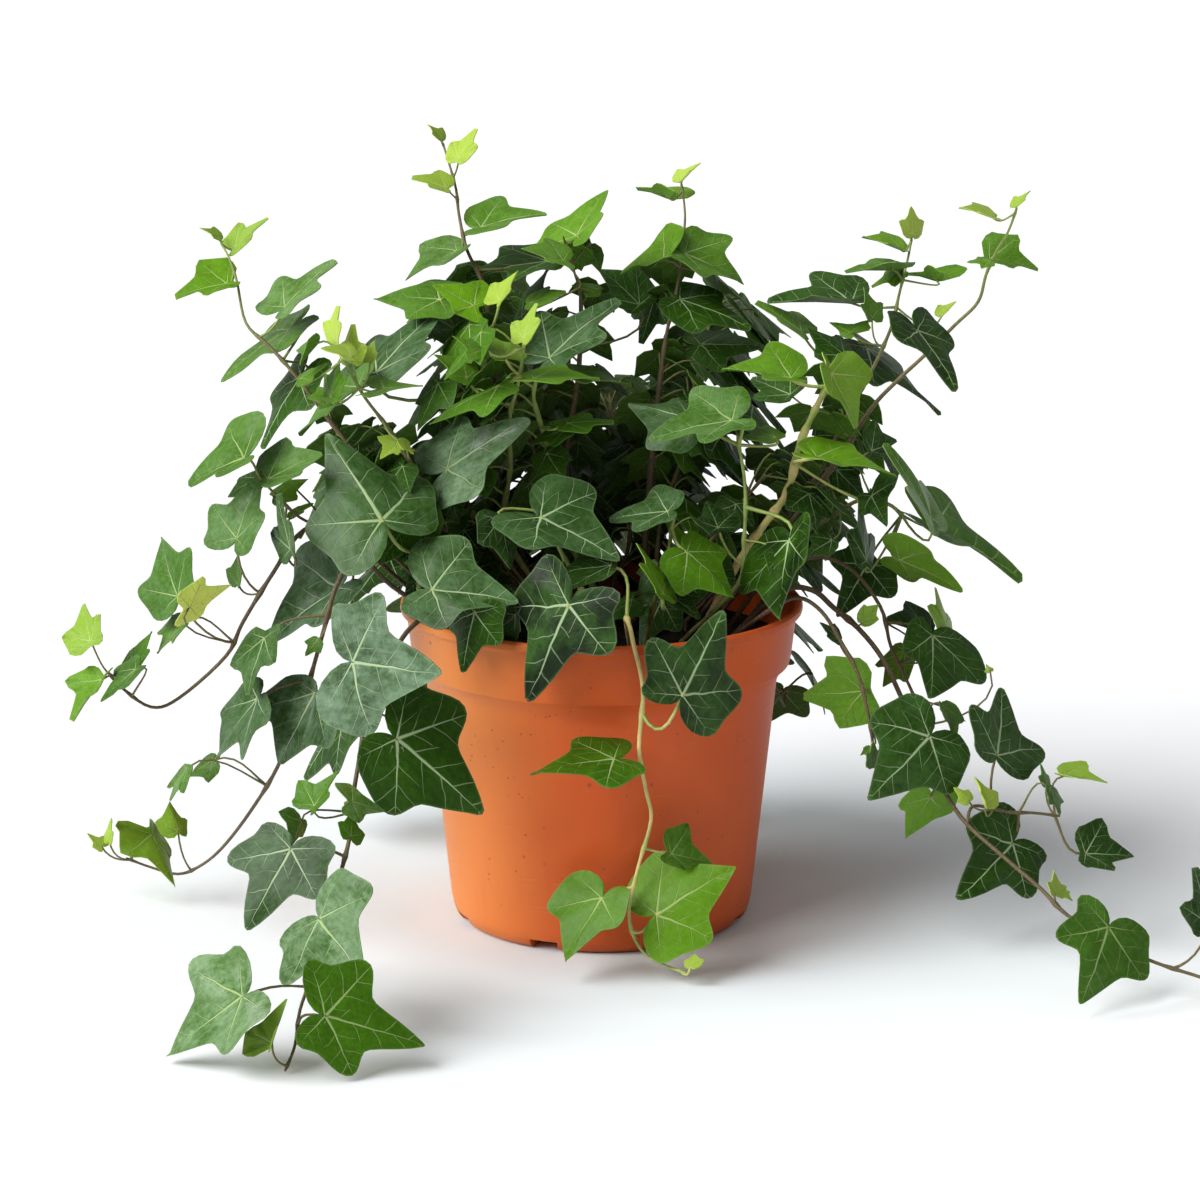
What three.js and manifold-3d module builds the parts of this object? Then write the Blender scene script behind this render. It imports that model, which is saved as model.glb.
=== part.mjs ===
import * as THREE from "three";
import { mergeVertices } from "three/addons/utils/BufferGeometryUtils.js";
import Module from "manifold-3d";

// A potted ivy. Millimetres, Z up, the pot's axis on Z and the floor at z = 0.
// The front of the plant looks along -Y.

const wasm = await Module();
wasm.setup();
const { Manifold, Mesh } = wasm;

// pot
const potHeight = 99;
const lipRadius = 61.4;
const potSides = 32;
const padRadius = 9;
const footOuter = 42.4;
const footInner = 37.6;
const footHeight = 4;
const plateTop = 5.6;
const drainRadius = 3.5;
const drainCircle = 27;
const drainCount = 4;
const notchWidth = 9;
const notchCount = 8;

// soil
const soilTop = 87;
const soilGap = 0.42;
const holeDepth = 5.5;
const holeGap = 0.4;

// leaves and stems
const bladeThickness = 0.62;
const petioleRadius = 0.55;
const clearGap = 0.4;
const floorGap = 0.4;

// The view the visible stems and leaves are laid out in: u to the right and v down,
// 1200 across, seen from in front and a little above.
const viewPitch = (13.4 * Math.PI) / 180;
const viewDistance = 1091.5;
const viewCentre = [-0.48, 0, 98.5];
const viewFocal = 3575;

const add = (a, b) => [a[0] + b[0], a[1] + b[1], a[2] + b[2]];
const sub = (a, b) => [a[0] - b[0], a[1] - b[1], a[2] - b[2]];
const mul = (a, k) => [a[0] * k, a[1] * k, a[2] * k];
const dot = (a, b) => a[0] * b[0] + a[1] * b[1] + a[2] * b[2];
const cross = (a, b) => [
  a[1] * b[2] - a[2] * b[1],
  a[2] * b[0] - a[0] * b[2],
  a[0] * b[1] - a[1] * b[0],
];
const size = (a) => Math.sqrt(dot(a, a));
const unit = (a) => mul(a, 1 / Math.max(size(a), 1e-9));
const mix = (a, b, t) => add(mul(a, 1 - t), mul(b, t));

const viewForward = [0, Math.cos(viewPitch), -Math.sin(viewPitch)];
const viewUp = [0, Math.sin(viewPitch), Math.cos(viewPitch)];
const viewEye = sub(viewCentre, mul(viewForward, viewDistance));

// The point seen at u, v that lies near mm in front of the pot's axis.
function seen(u, v, near) {
  const ray = add(
    add(viewForward, [(u - 600) / viewFocal, 0, 0]),
    mul(viewUp, (600 - v) / viewFocal),
  );
  return add(viewEye, mul(ray, (-near - viewEye[1]) / ray[1]));
}

// Even draws from a whole number, always the same ones.
function draws(seed) {
  let state = ((seed + 11) * 7919) % 2147483647;
  const next = () => {
    state = (state * 16807) % 2147483647;
    return state / 2147483647;
  };
  next();
  next();
  return next;
}

// Stems. route: u, v, near. leaf: u and v of the base and of the tip, how far the base
// stands out from the stem, how much it leans, its age (y young, m middle, o old,
// u seen from below), and u, v of its two side lobes.
const stems = [
  {
    name: "stem_trail_front",
    root: [9, -38],
    thick: [1.15, 0.6],
    route: [[626, 619, 50], [630, 628, 58], [633, 642, 62.6], [643, 690, 62.6], [639, 748, 62.2], [646, 790, 62.4],
      [651, 820, 63], [638, 868, 63], [629, 915, 62.5], [640, 948, 63], [662, 964, 66], [686, 973, 73]],
    leaves: [
      [682, 695, 725, 611, 8, 0.1, "o", 652, 637, 743, 690],
      [613, 760, 530, 771, 3, 0.3, "m", 572, 741, 606, 785],
      [671, 854, 714, 864, -1, 0.2, "o", 690, 825, 688, 870],
      [657, 914, 735, 866, 6, 0.3, "y", 665, 851, 713, 938],
      [602, 899, 564, 961, 3, 0.1, "m", 546, 909, 617, 928],
      [690, 967, 694, 953, 2, 0.2, "y", 684, 960, 705, 959],
      [611, 566, 553, 573, -16, 0.2, "o", 578, 551, 568, 588],
    ],
  },
  {
    name: "stem_crown_left",
    root: [-33, -23],
    thick: [1.2, 0.8],
    route: [[428, 604, 36], [418, 578, 36], [414, 545, 30]],
    leaves: [
      [383, 521, 325, 432, 8, 0.25, "o", 305, 526, 421, 475],
      [447, 470, 527, 417, 6, 0.3, "o", 463, 414, 484, 490],
      [432, 590, 518, 600, 14, 0.4, "o", 470, 541, 447, 627],
      [475, 612, 461, 673, 16, 0.1, "o", 447, 628, 500, 645],
    ],
  },
  {
    name: "stem_crown_front",
    root: [1, -28],
    thick: [1.2, 0.8],
    route: [[590, 610, 36], [573, 575, 38], [556, 540, 36], [548, 505, 32]],
    leaves: [
      [569, 605, 526, 702, 26, 0.02, "o", 513, 607, 608, 655],
      [541, 518, 620, 558, 8, 0.4, "o", 597, 490, 533, 551],
      [516, 615, 515, 648, 18, 0, "o", 496, 632, 521, 632],
      [500, 520, 512, 570, 6, 0.3, "o", 480, 545, 530, 550],
    ],
  },
  {
    name: "stem_crown_mid_front",
    root: [13, -22],
    thick: [1.2, 0.8],
    route: [[655, 600, 30], [668, 555, 32], [672, 522, 32]],
    leaves: [
      [668, 512, 608, 518, 4, 0.4, "o", 652, 488, 632, 530],
      [662, 594, 638, 541, 4, 0.1, "y", 640, 562, 667, 572],
      [684, 555, 664, 514, 0, 0.1, "m", 667, 528, 691, 535],
      [686, 552, 736, 597, 6, 0.2, "m", 727, 553, 683, 596],
      [664, 592, 701, 618, 10, 0.2, "o", 703, 597, 678, 611],
    ],
  },
  {
    name: "stem_crown_right",
    root: [24, -16],
    thick: [1.25, 0.8],
    route: [[737, 585, 20], [744, 540, 20], [745, 485, 18], [737, 435, 16]],
    leaves: [
      [732, 421, 648, 437, 8, 0.6, "m", 690, 391, 700, 441],
      [690, 419, 628, 402, -4, 0.4, "o", 675, 399, 645, 446],
      [790, 541, 777, 619, 10, 0.1, "o", 739, 594, 806, 562],
      [775, 438, 742, 425, 0, 0.6, "m", 765, 425, 742, 437],
      [718, 528, 706, 500, 0, 0.3, "o", 694, 520, 736, 510],
    ],
  },
  {
    name: "shoot_crown_bright",
    lean: 10,
    root: [30, -6],
    thick: [1.5, 0.9],
    route: [[740, 560, 4], [764, 525, 4], [788, 490, 3], [799, 446, 2], [815, 410, 2], [830, 381, 2]],
    leaves: [
      [831, 374, 858, 430, 2, 0.4, "y", 873, 378, 831, 396],
      [829, 374, 823, 352, -1, 0, "y", 825, 363, 833, 365],
      [790, 379, 722, 367, 2, 0.7, "y", 768, 343, 764, 377],
      [816, 458, 897, 472, 6, 0.6, "y", 852, 443, 838, 464],
      [861, 500, 879, 513, 2, 0.3, "y", 874, 502, 866, 512],
    ],
  },
  {
    name: "shoot_crown_tall",
    lean: 24,
    root: [-8, -8],
    thick: [1.2, 0.6],
    route: [[508, 540, 4], [510, 470, 6], [510, 415, 6], [516, 393, 6], [522, 363, 6], [524, 342, 6]],
    leaves: [
      [524, 339, 536, 302, 1, 0.1, "y", 513, 321, 540, 318],
      [504, 356, 478, 331, 4, 0.6, "y", 515, 342, 480, 347],
      [485, 349, 452, 334, 6, 0.5, "m", 471, 339, 466, 356],
      [498, 387, 427, 421, 6, 0.5, "m", 463, 402, 482, 416],
      [534, 379, 600, 376, 2, 0.5, "m", 566, 366, 560, 381],
      [466, 378, 434, 353, 2, 0.4, "m", 460, 352, 446, 374],
      [497, 402, 420, 383, -20, 0.5, "o", 466, 383, 462, 402],
    ],
  },
  {
    name: "shoot_crown_back_left",
    lean: -6,
    root: [-14, 6],
    thick: [1.2, 0.7],
    route: [[466, 500, -4], [474, 420, -2], [486, 350, 0], [490, 326, 0]],
    leaves: [
      [473, 306, 431, 283, 2, 0.5, "y", 453, 312, 479, 279],
      [500, 300, 518, 269, 2, 0.1, "y", 492, 283, 510, 290],
      [377, 373, 440, 304, 4, 0.3, "o", 374, 333, 432, 347],
      [440, 300, 373, 296, -4, 0.4, "m", 430, 279, 406, 318],
      [455, 330, 402, 300, -12, 0.3, "o", 428, 282, 415, 330],
    ],
  },
  {
    name: "shoot_crown_back_right",
    lean: 14,
    root: [4, 2],
    thick: [1.2, 0.7],
    route: [[560, 520, 0], [548, 450, 2], [534, 400, 3], [538, 374, 3]],
    leaves: [
      [550, 358, 618, 297, 8, 0.3, "o", 541, 311, 606, 333],
      [561, 373, 632, 383, 4, 0.6, "m", 592, 366, 585, 382],
      [565, 430, 528, 444, 6, 0.4, "m", 548, 424, 552, 446],
      [568, 424, 615, 420, 6, 0.5, "m", 592, 414, 590, 431],
    ],
  },
  {
    name: "shoot_left_middle",
    lean: 20,
    root: [-27, -2],
    thick: [1.1, 0.5],
    route: [[450, 540, 10], [420, 480, 16], [394, 436, 18], [366, 399, 18], [352, 375, 18], [342, 355, 18]],
    leaves: [
      [352, 359, 352, 323, 2, 0.1, "y", 339, 345, 366, 345],
      [350, 357, 321, 347, 1, 0.3, "y", 344, 340, 342, 358],
      [370, 361, 374, 340, 0, 0, "y", 356, 351, 378, 352],
      [337, 341, 337, 305, 0, 0, "y", 324, 321, 340, 322],
      [331, 397, 338, 358, 3, 0.1, "m", 325, 374, 346, 376],
      [332, 400, 307, 397, 0, 0.5, "m", 317, 386, 318, 409],
      [358, 388, 296, 432, 2, 0.3, "m", 334, 386, 326, 414],
      [384, 389, 426, 385, 0, 0.5, "m", 378, 376, 372, 396],
      [397, 445, 380, 459, 2, 0.2, "y", 376, 437, 398, 455],
      [400, 441, 414, 454, 1, 0.2, "y", 411, 443, 404, 451],
      [350, 336, 388, 299, -26, 0.2, "o", 341, 304, 364, 328],
      [318, 343, 299, 365, 0, 0, "m", 295, 352, 307, 340],
      [301, 379, 328, 362, -4, 0.1, "m", 312, 367, 314, 381],
    ],
  },
  {
    name: "shoot_left_high",
    lean: -34,
    root: [-36, 8],
    thick: [1.1, 0.45],
    route: [[420, 530, -2], [345, 440, -4], [295, 375, -4], [269, 346, -4], [246, 323, -4], [237, 282, -4],
      [229, 258, -4], [220, 241, -4]],
    leaves: [
      [219, 239, 200, 227, 0, 0.2, "y", 213, 226, 213, 237],
      [236, 247, 268, 216, 0, 0.2, "y", 240, 221, 252, 238],
      [227, 284, 173, 296, 2, 0.3, "y", 197, 262, 205, 294],
      [285, 307, 334, 258, 2, 0.2, "m", 283, 276, 320, 284],
      [290, 329, 218, 378, -6, 0.2, "m", 261, 335, 274, 353],
      [301, 377, 258, 447, 4, 0.1, "o", 271, 398, 308, 408],
    ],
  },
  {
    name: "shoot_top_left",
    lean: -46,
    root: [-18, 16],
    thick: [1.1, 0.45],
    route: [[500, 480, -16], [496, 380, -16], [484, 290, -16], [467, 250, -16], [459, 215, -16], [456, 189, -16],
      [448, 160, -16], [442, 141, -16]],
    leaves: [
      [441, 140, 428, 124, 0, 0, "y", 442, 127, 432, 133],
      [459, 159, 476, 127, 0, 0.2, "y", 452, 141, 478, 145],
      [445, 188, 411, 176, 0, 0.3, "y", 437, 169, 428, 187],
      [457, 251, 403, 279, 1, 0.2, "m", 418, 247, 440, 264],
      [481, 228, 546, 211, 1, 0.2, "m", 504, 195, 507, 226],
      [548, 262, 463, 275, -6, 0.3, "o", 500, 248, 508, 279],
    ],
  },
  {
    name: "shoot_top_middle",
    lean: 16,
    root: [-2, 24],
    thick: [1.1, 0.45],
    route: [[566, 480, -32], [578, 380, -34], [581, 304, -34], [574, 271, -30], [563, 236, -26]],
    leaves: [
      [577, 236, 606, 188, 2, 0.2, "y", 550, 222, 604, 214],
      [563, 261, 521, 247, 0, 0.3, "m", 545, 237, 547, 261],
      [522, 316, 549, 262, -8, 0, "o", 527, 290, 546, 292],
      [530, 304, 566, 290, 0, 0.3, "m", 550, 285, 553, 302],
      [640, 305, 600, 268, -6, 0.2, "o", 634, 264, 598, 296],
      [598, 290, 572, 284, 4, 0.3, "m", 585, 282, 585, 297],
    ],
  },
  {
    name: "shoot_top_right",
    lean: -34,
    root: [12, 14],
    thick: [1.1, 0.45],
    route: [[650, 480, -14], [658, 400, -16], [666, 337, -16], [677, 288, -16], [683, 240, -16],
      [685, 215, -16], [682, 184, -16]],
    leaves: [
      [682, 181, 700, 162, 0, 0.1, "y", 677, 168, 690, 171],
      [670, 199, 635, 187, 0, 0.4, "y", 655, 183, 684, 186],
      [684, 254, 745, 282, 3, 0.2, "m", 733, 239, 706, 276],
      [664, 260, 618, 272, 1, 0.2, "m", 664, 227, 644, 264],
      [680, 300, 752, 326, -6, 0.2, "o", 724, 294, 700, 333],
      [655, 300, 640, 345, -4, 0.1, "o", 630, 318, 668, 325],
      [700, 345, 765, 345, -12, 0.2, "o", 730, 330, 725, 372],
    ],
  },
  {
    name: "shoot_right_middle",
    lean: -30,
    root: [26, 10],
    thick: [1.1, 0.5],
    route: [[800, 500, -12], [850, 410, -14], [876, 362, -14], [892, 325, -14], [899, 295, -14],
      [908, 258, -14], [912, 236, -14]],
    leaves: [
      [912, 235, 912, 206, 0, 0, "y", 899, 220, 924, 220],
      [901, 250, 862, 235, 0, 0.4, "y", 881, 230, 886, 243],
      [893, 270, 843, 270, 1, 0.4, "m", 868, 259, 893, 262],
      [900, 272, 870, 286, 1, 0.2, "m", 885, 272, 893, 286],
      [937, 281, 906, 273, 1, 0.3, "m", 926, 265, 953, 264],
      [851, 303, 767, 300, 2, 0.3, "o", 810, 271, 812, 297],
      [850, 333, 829, 322, 2, 0.4, "m", 868, 320, 840, 336],
      [872, 318, 864, 287, 0, 0.1, "m", 883, 302, 860, 304],
      [866, 348, 943, 413, 3, 0.1, "o", 899, 366, 876, 384],
      [942, 316, 956, 301, -1, 0.1, "y", 938, 304, 948, 311],
      [845, 356, 806, 325, -2, 0.3, "o", 838, 335, 814, 354],
      [800, 331, 755, 300, -4, 0.3, "m", 797, 310, 778, 322],
    ],
  },
  {
    name: "shoot_right_high",
    lean: 22,
    root: [34, 6],
    thick: [1.15, 0.5],
    route: [[830, 470, -4], [870, 410, -5], [898, 380, -5], [925, 355, -5], [955, 325, -5], [978, 302, -5],
      [986, 275, -5], [996, 252, -5], [1008, 232, -5], [1017, 208, -5]],
    leaves: [
      [1017, 206, 1030, 190, 0, 0, "y", 1014, 196, 1025, 199],
      [993, 218, 959, 206, 0, 0.3, "y", 972, 201, 978, 212],
      [990, 259, 1040, 269, 2, 0.3, "m", 1020, 236, 1012, 267],
      [990, 262, 967, 261, 0, 0.3, "m", 977, 257, 981, 268],
      [917, 331, 959, 389, 3, 0.05, "o", 955, 346, 903, 342],
      [790, 395, 750, 378, -2, 0.2, "o", 790, 362, 752, 398],
    ],
  },
  {
    name: "trail_left_upper",
    root: [-42, -2],
    thick: [1.2, 0.6],
    route: [[390, 572, 12], [345, 528, 18], [304, 530, 22], [273, 573, 24], [243, 622, 24], [226, 656, 24],
      [179, 698, 24], [151, 707, 24], [121, 687, 24], [108, 672, 24]],
    leaves: [
      [178, 596, 159, 537, 1, 0.1, "m", 139, 588, 187, 547],
      [237, 538, 258, 474, 4, 0.2, "m", 211, 504, 265, 514],
      [258, 478, 226, 496, -2, 0.2, "o", 238, 479, 244, 502],
      [238, 583, 237, 553, 0, 0, "m", 226, 568, 241, 570],
      [189, 607, 232, 584, 2, 0.3, "u", 204, 575, 200, 618],
      [136, 670, 99, 702, 3, 0.2, "m", 112, 672, 122, 690],
      [133, 664, 152, 630, -1, 0.1, "m", 130, 649, 151, 650],
      [184, 621, 156, 654, 0, 0.2, "m", 156, 634, 172, 644],
      [91, 641, 83, 603, 0, 0.1, "y", 63, 635, 99, 613],
      [102, 680, 70, 722, 1, 0.1, "y", 65, 684, 94, 693],
      [291, 549, 277, 492, 3, 0.1, "o", 270, 530, 290, 520],
    ],
  },
  {
    name: "shoot_left_out",
    root: [-38, -12],
    thick: [1.0, 0.5],
    route: [[392, 555, 26], [340, 522, 30], [306, 521, 32], [275, 494, 32], [255, 471, 32]],
    leaves: [
      [244, 459, 186, 483, 2, 0.2, "m", 226, 424, 217, 478],
      [268, 480, 322, 452, 2, 0.4, "m", 288, 436, 302, 474],
      [276, 495, 308, 477, -2, 0.2, "u", 290, 479, 298, 498],
      [291, 517, 313, 502, 1, 0.2, "u", 298, 505, 305, 512],
    ],
  },
  {
    name: "trail_left_middle",
    root: [-36, -22],
    thick: [1.2, 0.55],
    route: [[392, 586, 40], [360, 556, 44], [338, 582, 46], [321, 640, 46], [302, 705, 42], [278, 766, 34],
      [250, 812, 22], [222, 848, 10], [200, 866, 0], [178, 874, -6], [150, 867, -8], [126, 858, -8]],
    leaves: [
      [339, 588, 266, 640, 3, 0.3, "o", 292, 556, 314, 628],
      [265, 638, 245, 696, 3, 0.1, "o", 231, 668, 272, 664],
      [258, 699, 213, 757, 4, 0.1, "o", 220, 712, 240, 760],
      [213, 760, 189, 776, 0, 0.2, "m", 200, 760, 208, 784],
      [187, 768, 169, 801, 0, 0, "m", 167, 789, 182, 794],
      [178, 831, 170, 801, 1, 0, "m", 154, 821, 187, 819],
      [152, 835, 178, 888, 1, 0, "m", 124, 855, 171, 853],
      [101, 846, 87, 833, 0, 0, "y", 104, 835, 92, 847],
      [109, 840, 111, 818, 0, 0, "y", 104, 833, 114, 832],
      [318, 640, 305, 656, -1, 0.1, "m", 304, 642, 320, 654],
    ],
  },
  {
    name: "trail_front_left",
    root: [-27, -31],
    thick: [1.3, 0.6],
    route: [[474, 606, 36], [452, 606, 44], [420, 620, 54], [398, 645, 62], [372, 700, 68], [354, 790, 80], [350, 835, 86], [341, 872, 92],
      [328, 922, 102], [314, 970, 114], [300, 1010, 126], [295, 1045, 138], [285, 1071, 145]],
    leaves: [
      [353, 662, 437, 674, 4, 0.2, "o", 385, 597, 371, 734],
      [316, 694, 278, 764, 2, 0.1, "o", 256, 711, 326, 749],
      [396, 739, 485, 814, 6, 0.1, "o", 468, 714, 396, 816],
      [291, 849, 246, 930, 2, 0.1, "o", 226, 862, 318, 900],
      [320, 919, 361, 975, 3, 0.1, "m", 371, 893, 288, 986],
      [243, 997, 165, 1056, 2, 0.1, "m", 189, 965, 222, 1055],
      [325, 1016, 426, 1045, 4, 0.1, "o", 371, 966, 354, 1075],
      [272, 1043, 287, 997, 2, 0.1, "y", 247, 1030, 278, 1024],
      [301, 822, 290, 847, 0, 0, "m", 277, 812, 303, 838],
      [315, 806, 340, 769, 0, 0, "m", 301, 779, 329, 794],
      [352, 802, 386, 811, 2, 0.2, "m", 352, 785, 361, 823],
      [350, 836, 352, 808, 3, 0, "m", 338, 821, 365, 834],
    ],
  },
  {
    name: "trail_right_low",
    root: [40, -8],
    thick: [1.35, 0.7],
    route: [[782, 592, 12], [812, 590, 16], [834, 608, 18], [858, 628, 22], [882, 658, 26], [903, 701, 30],
      [925, 750, 36], [946, 794, 42], [967, 824, 48], [1005, 858, 57], [1040, 888, 65], [1067, 915, 71],
      [1110, 942, 77], [1154, 962, 82], [1200, 977, 86], [1238, 990, 92]],
    branch: [[967, 824, 48], [974, 806, 46], [1008, 812, 44], [1034, 813, 44], [1060, 816, 44]],
    leaves: [
      [929, 736, 870, 800, 6, 0.2, "o", 870, 722, 947, 795],
      [930, 797, 904, 837, 4, 0.1, "u", 949, 815, 897, 806],
      [1012, 843, 960, 900, 4, 0.2, "o", 967, 829, 1027, 899],
      [1108, 928, 1081, 1004, 6, 0.3, "m", 1057, 937, 1143, 981],
      [1085, 854, 1135, 856, 2, 0.1, "o", 1105, 819, 1116, 871],
      [1055, 893, 1054, 870, 1, 0, "y", 1047, 882, 1067, 886],
      [1060, 892, 1073, 901, 1, 0.1, "y", 1070, 892, 1062, 899],
      [1207, 923, 1195, 866, 2, 0.1, "o", 1181, 905, 1237, 886],
      [1262, 962, 1302, 930, 2, 0.1, "m", 1262, 928, 1306, 962],
      [1236, 1000, 1270, 1019, 3, 0.1, "m", 1266, 998, 1240, 1018],
      [996, 755, 1003, 687, 3, 0.1, "o", 972, 704, 1043, 748],
      [942, 706, 956, 738, 0, 0, "m", 965, 722, 946, 722],
      [1064, 776, 1109, 782, 1, 0.3, "y", 1088, 763, 1080, 777],
      [1046, 784, 1041, 763, 0, 0, "m", 1038, 776, 1049, 775],
      [1049, 788, 1061, 815, 1, 0, "m", 1064, 803, 1050, 805],
      [968, 800, 954, 787, 0, 0, "y", 968, 789, 957, 802],
      [985, 805, 975, 776, 2, 0, "y", 998, 791, 981, 792],
      [862, 622, 878, 604, 3, 0, "u", 864, 603, 880, 619],
    ],
  },
  {
    name: "trail_right_short",
    root: [36, -20],
    thick: [1.1, 0.6],
    route: [[776, 606, 36], [800, 598, 40], [822, 612, 41], [840, 640, 42], [858, 674, 43], [868, 714, 44],
      [873, 745, 44], [874, 768, 44]],
    leaves: [
      [863, 691, 803, 695, -3, 0, "u", 824, 657, 837, 727],
      [870, 765, 874, 742, 1, 0, "m", 866, 752, 880, 750],
      [870, 748, 860, 755, 0, 0.1, "m", 863, 748, 866, 756],
      [838, 640, 820, 622, -6, 0, "o", 826, 636, 834, 622],
    ],
  },
  {
    name: "trail_right_mid",
    root: [43, 2],
    thick: [1.1, 0.6],
    route: [[800, 562, -4], [846, 566, -2], [880, 606, 2], [891, 647, 6], [909, 685, 12], [922, 714, 16],
      [930, 727, 18]],
    leaves: [
      [932, 636, 933, 697, 4, 0.1, "o", 983, 684, 905, 655],
      [928, 634, 887, 617, 1, 0.3, "o", 905, 600, 908, 631],
      [946, 627, 936, 586, 0, 0, "y", 928, 604, 949, 616],
      [905, 650, 882, 687, 2, 0.1, "m", 875, 667, 905, 683],
      [944, 707, 966, 721, -4, 0.2, "m", 957, 706, 952, 722],
      [990, 670, 986, 664, 0, 0, "y", 984, 672, 993, 668],
    ],
  },
  {
    name: "shoot_right_low",
    root: [38, -2],
    thick: [1.2, 0.8],
    route: [[790, 545, 4], [826, 520, 2], [860, 500, 0], [888, 504, -1], [905, 518, -2]],
    leaves: [
      [933, 528, 1026, 576, 1, 0.2, "m", 953, 499, 960, 545],
      [900, 560, 964, 588, 3, 0.1, "u", 932, 549, 913, 583],
      [866, 561, 861, 502, 8, 0.1, "o", 848, 530, 873, 534],
      [866, 566, 838, 617, 8, 0.1, "o", 829, 561, 892, 598],
      [931, 520, 886, 442, -2, 0.1, "m", 924, 480, 905, 489],
      [871, 451, 898, 441, 4, 0.3, "o", 876, 420, 886, 455],
      [872, 496, 887, 527, 7, 0.1, "o", 897, 480, 861, 516],
      [832, 540, 806, 556, 9, 0.2, "o", 806, 535, 828, 558],
      [836, 470, 866, 500, 3, 0.2, "o", 862, 470, 838, 498],
    ],
  },
];

// Stems of the far side and of the crown's inside, by rule: an angle round the pot from
// the right (counter-clockwise seen from above), where it stands, how high it climbs,
// how far out it reaches and the height it ends at.
const ruled = [
  ["trail_back_right", 52, 38, 16, 92, 44, 6, 21],
  ["trail_back_mid_right", 72, 40, 20, 96, 8, 9, 22],
  ["trail_back_middle", 92, 39, 14, 84, 22, 7, 23],
  ["trail_back_mid_left", 110, 40, 22, 100, 6, 9, 24],
  ["trail_back_left", 131, 38, 16, 94, 40, 6, 25],
  ["shoot_back_right", 34, 26, 44, 92, 128, 7, 26],
  ["shoot_back_mid_right", 62, 22, 66, 78, 178, 7, 27],
  ["shoot_back_middle", 88, 26, 48, 92, 146, 7, 28],
  ["shoot_back_mid_left", 121, 27, 60, 76, 184, 7, 29],
  ["shoot_back_left", 148, 26, 44, 92, 134, 7, 30],
  ["shoot_inner_right", 8, 15, 30, 50, 136, 7, 31],
  ["shoot_inner_far_right", 22, 32, 30, 66, 118, 6, 32],
  ["shoot_inner_back_right", 48, 12, 30, 44, 152, 7, 33],
  ["shoot_inner_back", 76, 15, 30, 40, 128, 6, 34],
  ["shoot_inner_middle", 100, 33, 30, 62, 116, 6, 35],
  ["shoot_inner_back_left", 130, 12, 30, 42, 150, 7, 36],
  ["shoot_inner_left", 172, 17, 30, 52, 132, 7, 37],
  ["shoot_inner_far_left", 158, 33, 30, 68, 114, 6, 38],
];

// A smooth curve through points; each span is cut in parts.
function smooth(points, parts) {
  const first = add(points[0], mul(sub(points[0], points[1]), 0.6));
  const end = points[points.length - 1];
  const last = add(end, sub(end, points[points.length - 2]));
  const all = [first, ...points, last];
  const out = [];
  for (let i = 1; i < all.length - 2; i += 1) {
    for (let j = 0; j < parts; j += 1) {
      const t = j / parts;
      const bend = (k) => {
        const [a, b, c, d] = [all[i - 1][k], all[i][k], all[i + 1][k], all[i + 2][k]];
        return b + 0.5 * t * (c - a + t * (2 * a - 5 * b + 4 * c - d + t * (3 * (b - c) + d - a)));
      };
      out.push([bend(0), bend(1), bend(2)]);
    }
  }
  out.push(end);
  return out;
}

// The middle line of a stem from its hole in the soil to its end.
function stemLine(plan, shift, parts) {
  const [x, y] = plan.root;
  const foot = [x, y, soilTop - holeDepth + 0.8];
  const lean = (i) => (plan.lean ?? 0) * (i / (plan.route.length - 1)) ** 1.5;
  const out = plan.points ?? plan.route.map(([u, v, near], i) => seen(u, v, near + shift + lean(i)));
  return [foot, ...smooth([[x, y, soilTop + 2.5], ...out], parts)];
}

function tubeRings(line, radiusAt, sides) {
  const rings = [];
  let normal = [0, 1, 0.013];
  for (let i = 0; i < line.length; i += 1) {
    const before = line[Math.max(i - 1, 0)];
    const after = line[Math.min(i + 1, line.length - 1)];
    const along = unit(sub(after, before));
    normal = unit(sub(normal, mul(along, dot(normal, along))));
    const side = cross(along, normal);
    const radius = radiusAt(i / (line.length - 1));
    const ring = [];
    for (let k = 0; k < sides; k += 1) {
      const angle = (2 * Math.PI * k) / sides;
      ring.push(add(line[i], add(mul(normal, radius * Math.cos(angle)), mul(side, radius * Math.sin(angle)))));
    }
    rings.push(ring);
  }
  return rings;
}

function solidFrom({ points, faces }) {
  return new Manifold(
    new Mesh({
      numProp: 3,
      vertProperties: new Float32Array(points.flat()),
      triVerts: new Uint32Array(faces.flat()),
    }),
  );
}

// A three-sided tube added to a body. It starts closed, or from an open ring of the body.
// Its side faces from the span `free` on may carry leaves.
function addTube(body, line, radiusAt, free, openRing) {
  const rings = tubeRings(line, radiusAt, 3);
  let last = openRing;
  rings.forEach((ring, i) => {
    const start = body.points.length;
    const now = [start, start + 1, start + 2];
    body.points.push(...ring);
    if (last) {
      const turned = i === 0 ? bestTurn(body, now, last) : last;
      for (let k = 0; k < 3; k += 1) {
        const next = (k + 1) % 3;
        if (i > free) body.free.push(body.faces.length, body.faces.length + 1);
        body.faces.push([turned[k], turned[next], now[next]]);
        body.faces.push([turned[k], now[next], now[k]]);
      }
    } else {
      body.faces.push([now[0], now[2], now[1]]);
    }
    last = now;
  });
  body.faces.push(last);
}

// The turn of a ring's three points that twists least against another ring.
function bestTurn(body, ring, other) {
  const turns = [0, 1, 2].map((k) => [other[k], other[(k + 1) % 3], other[(k + 2) % 3]]);
  const twist = (turn) => turn.reduce(
    (sum, p, k) => sum + size(sub(body.points[p], body.points[ring[k]])) ** 2,
    0,
  );
  return turns.sort((p, q) => twist(p) - twist(q))[0];
}

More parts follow.
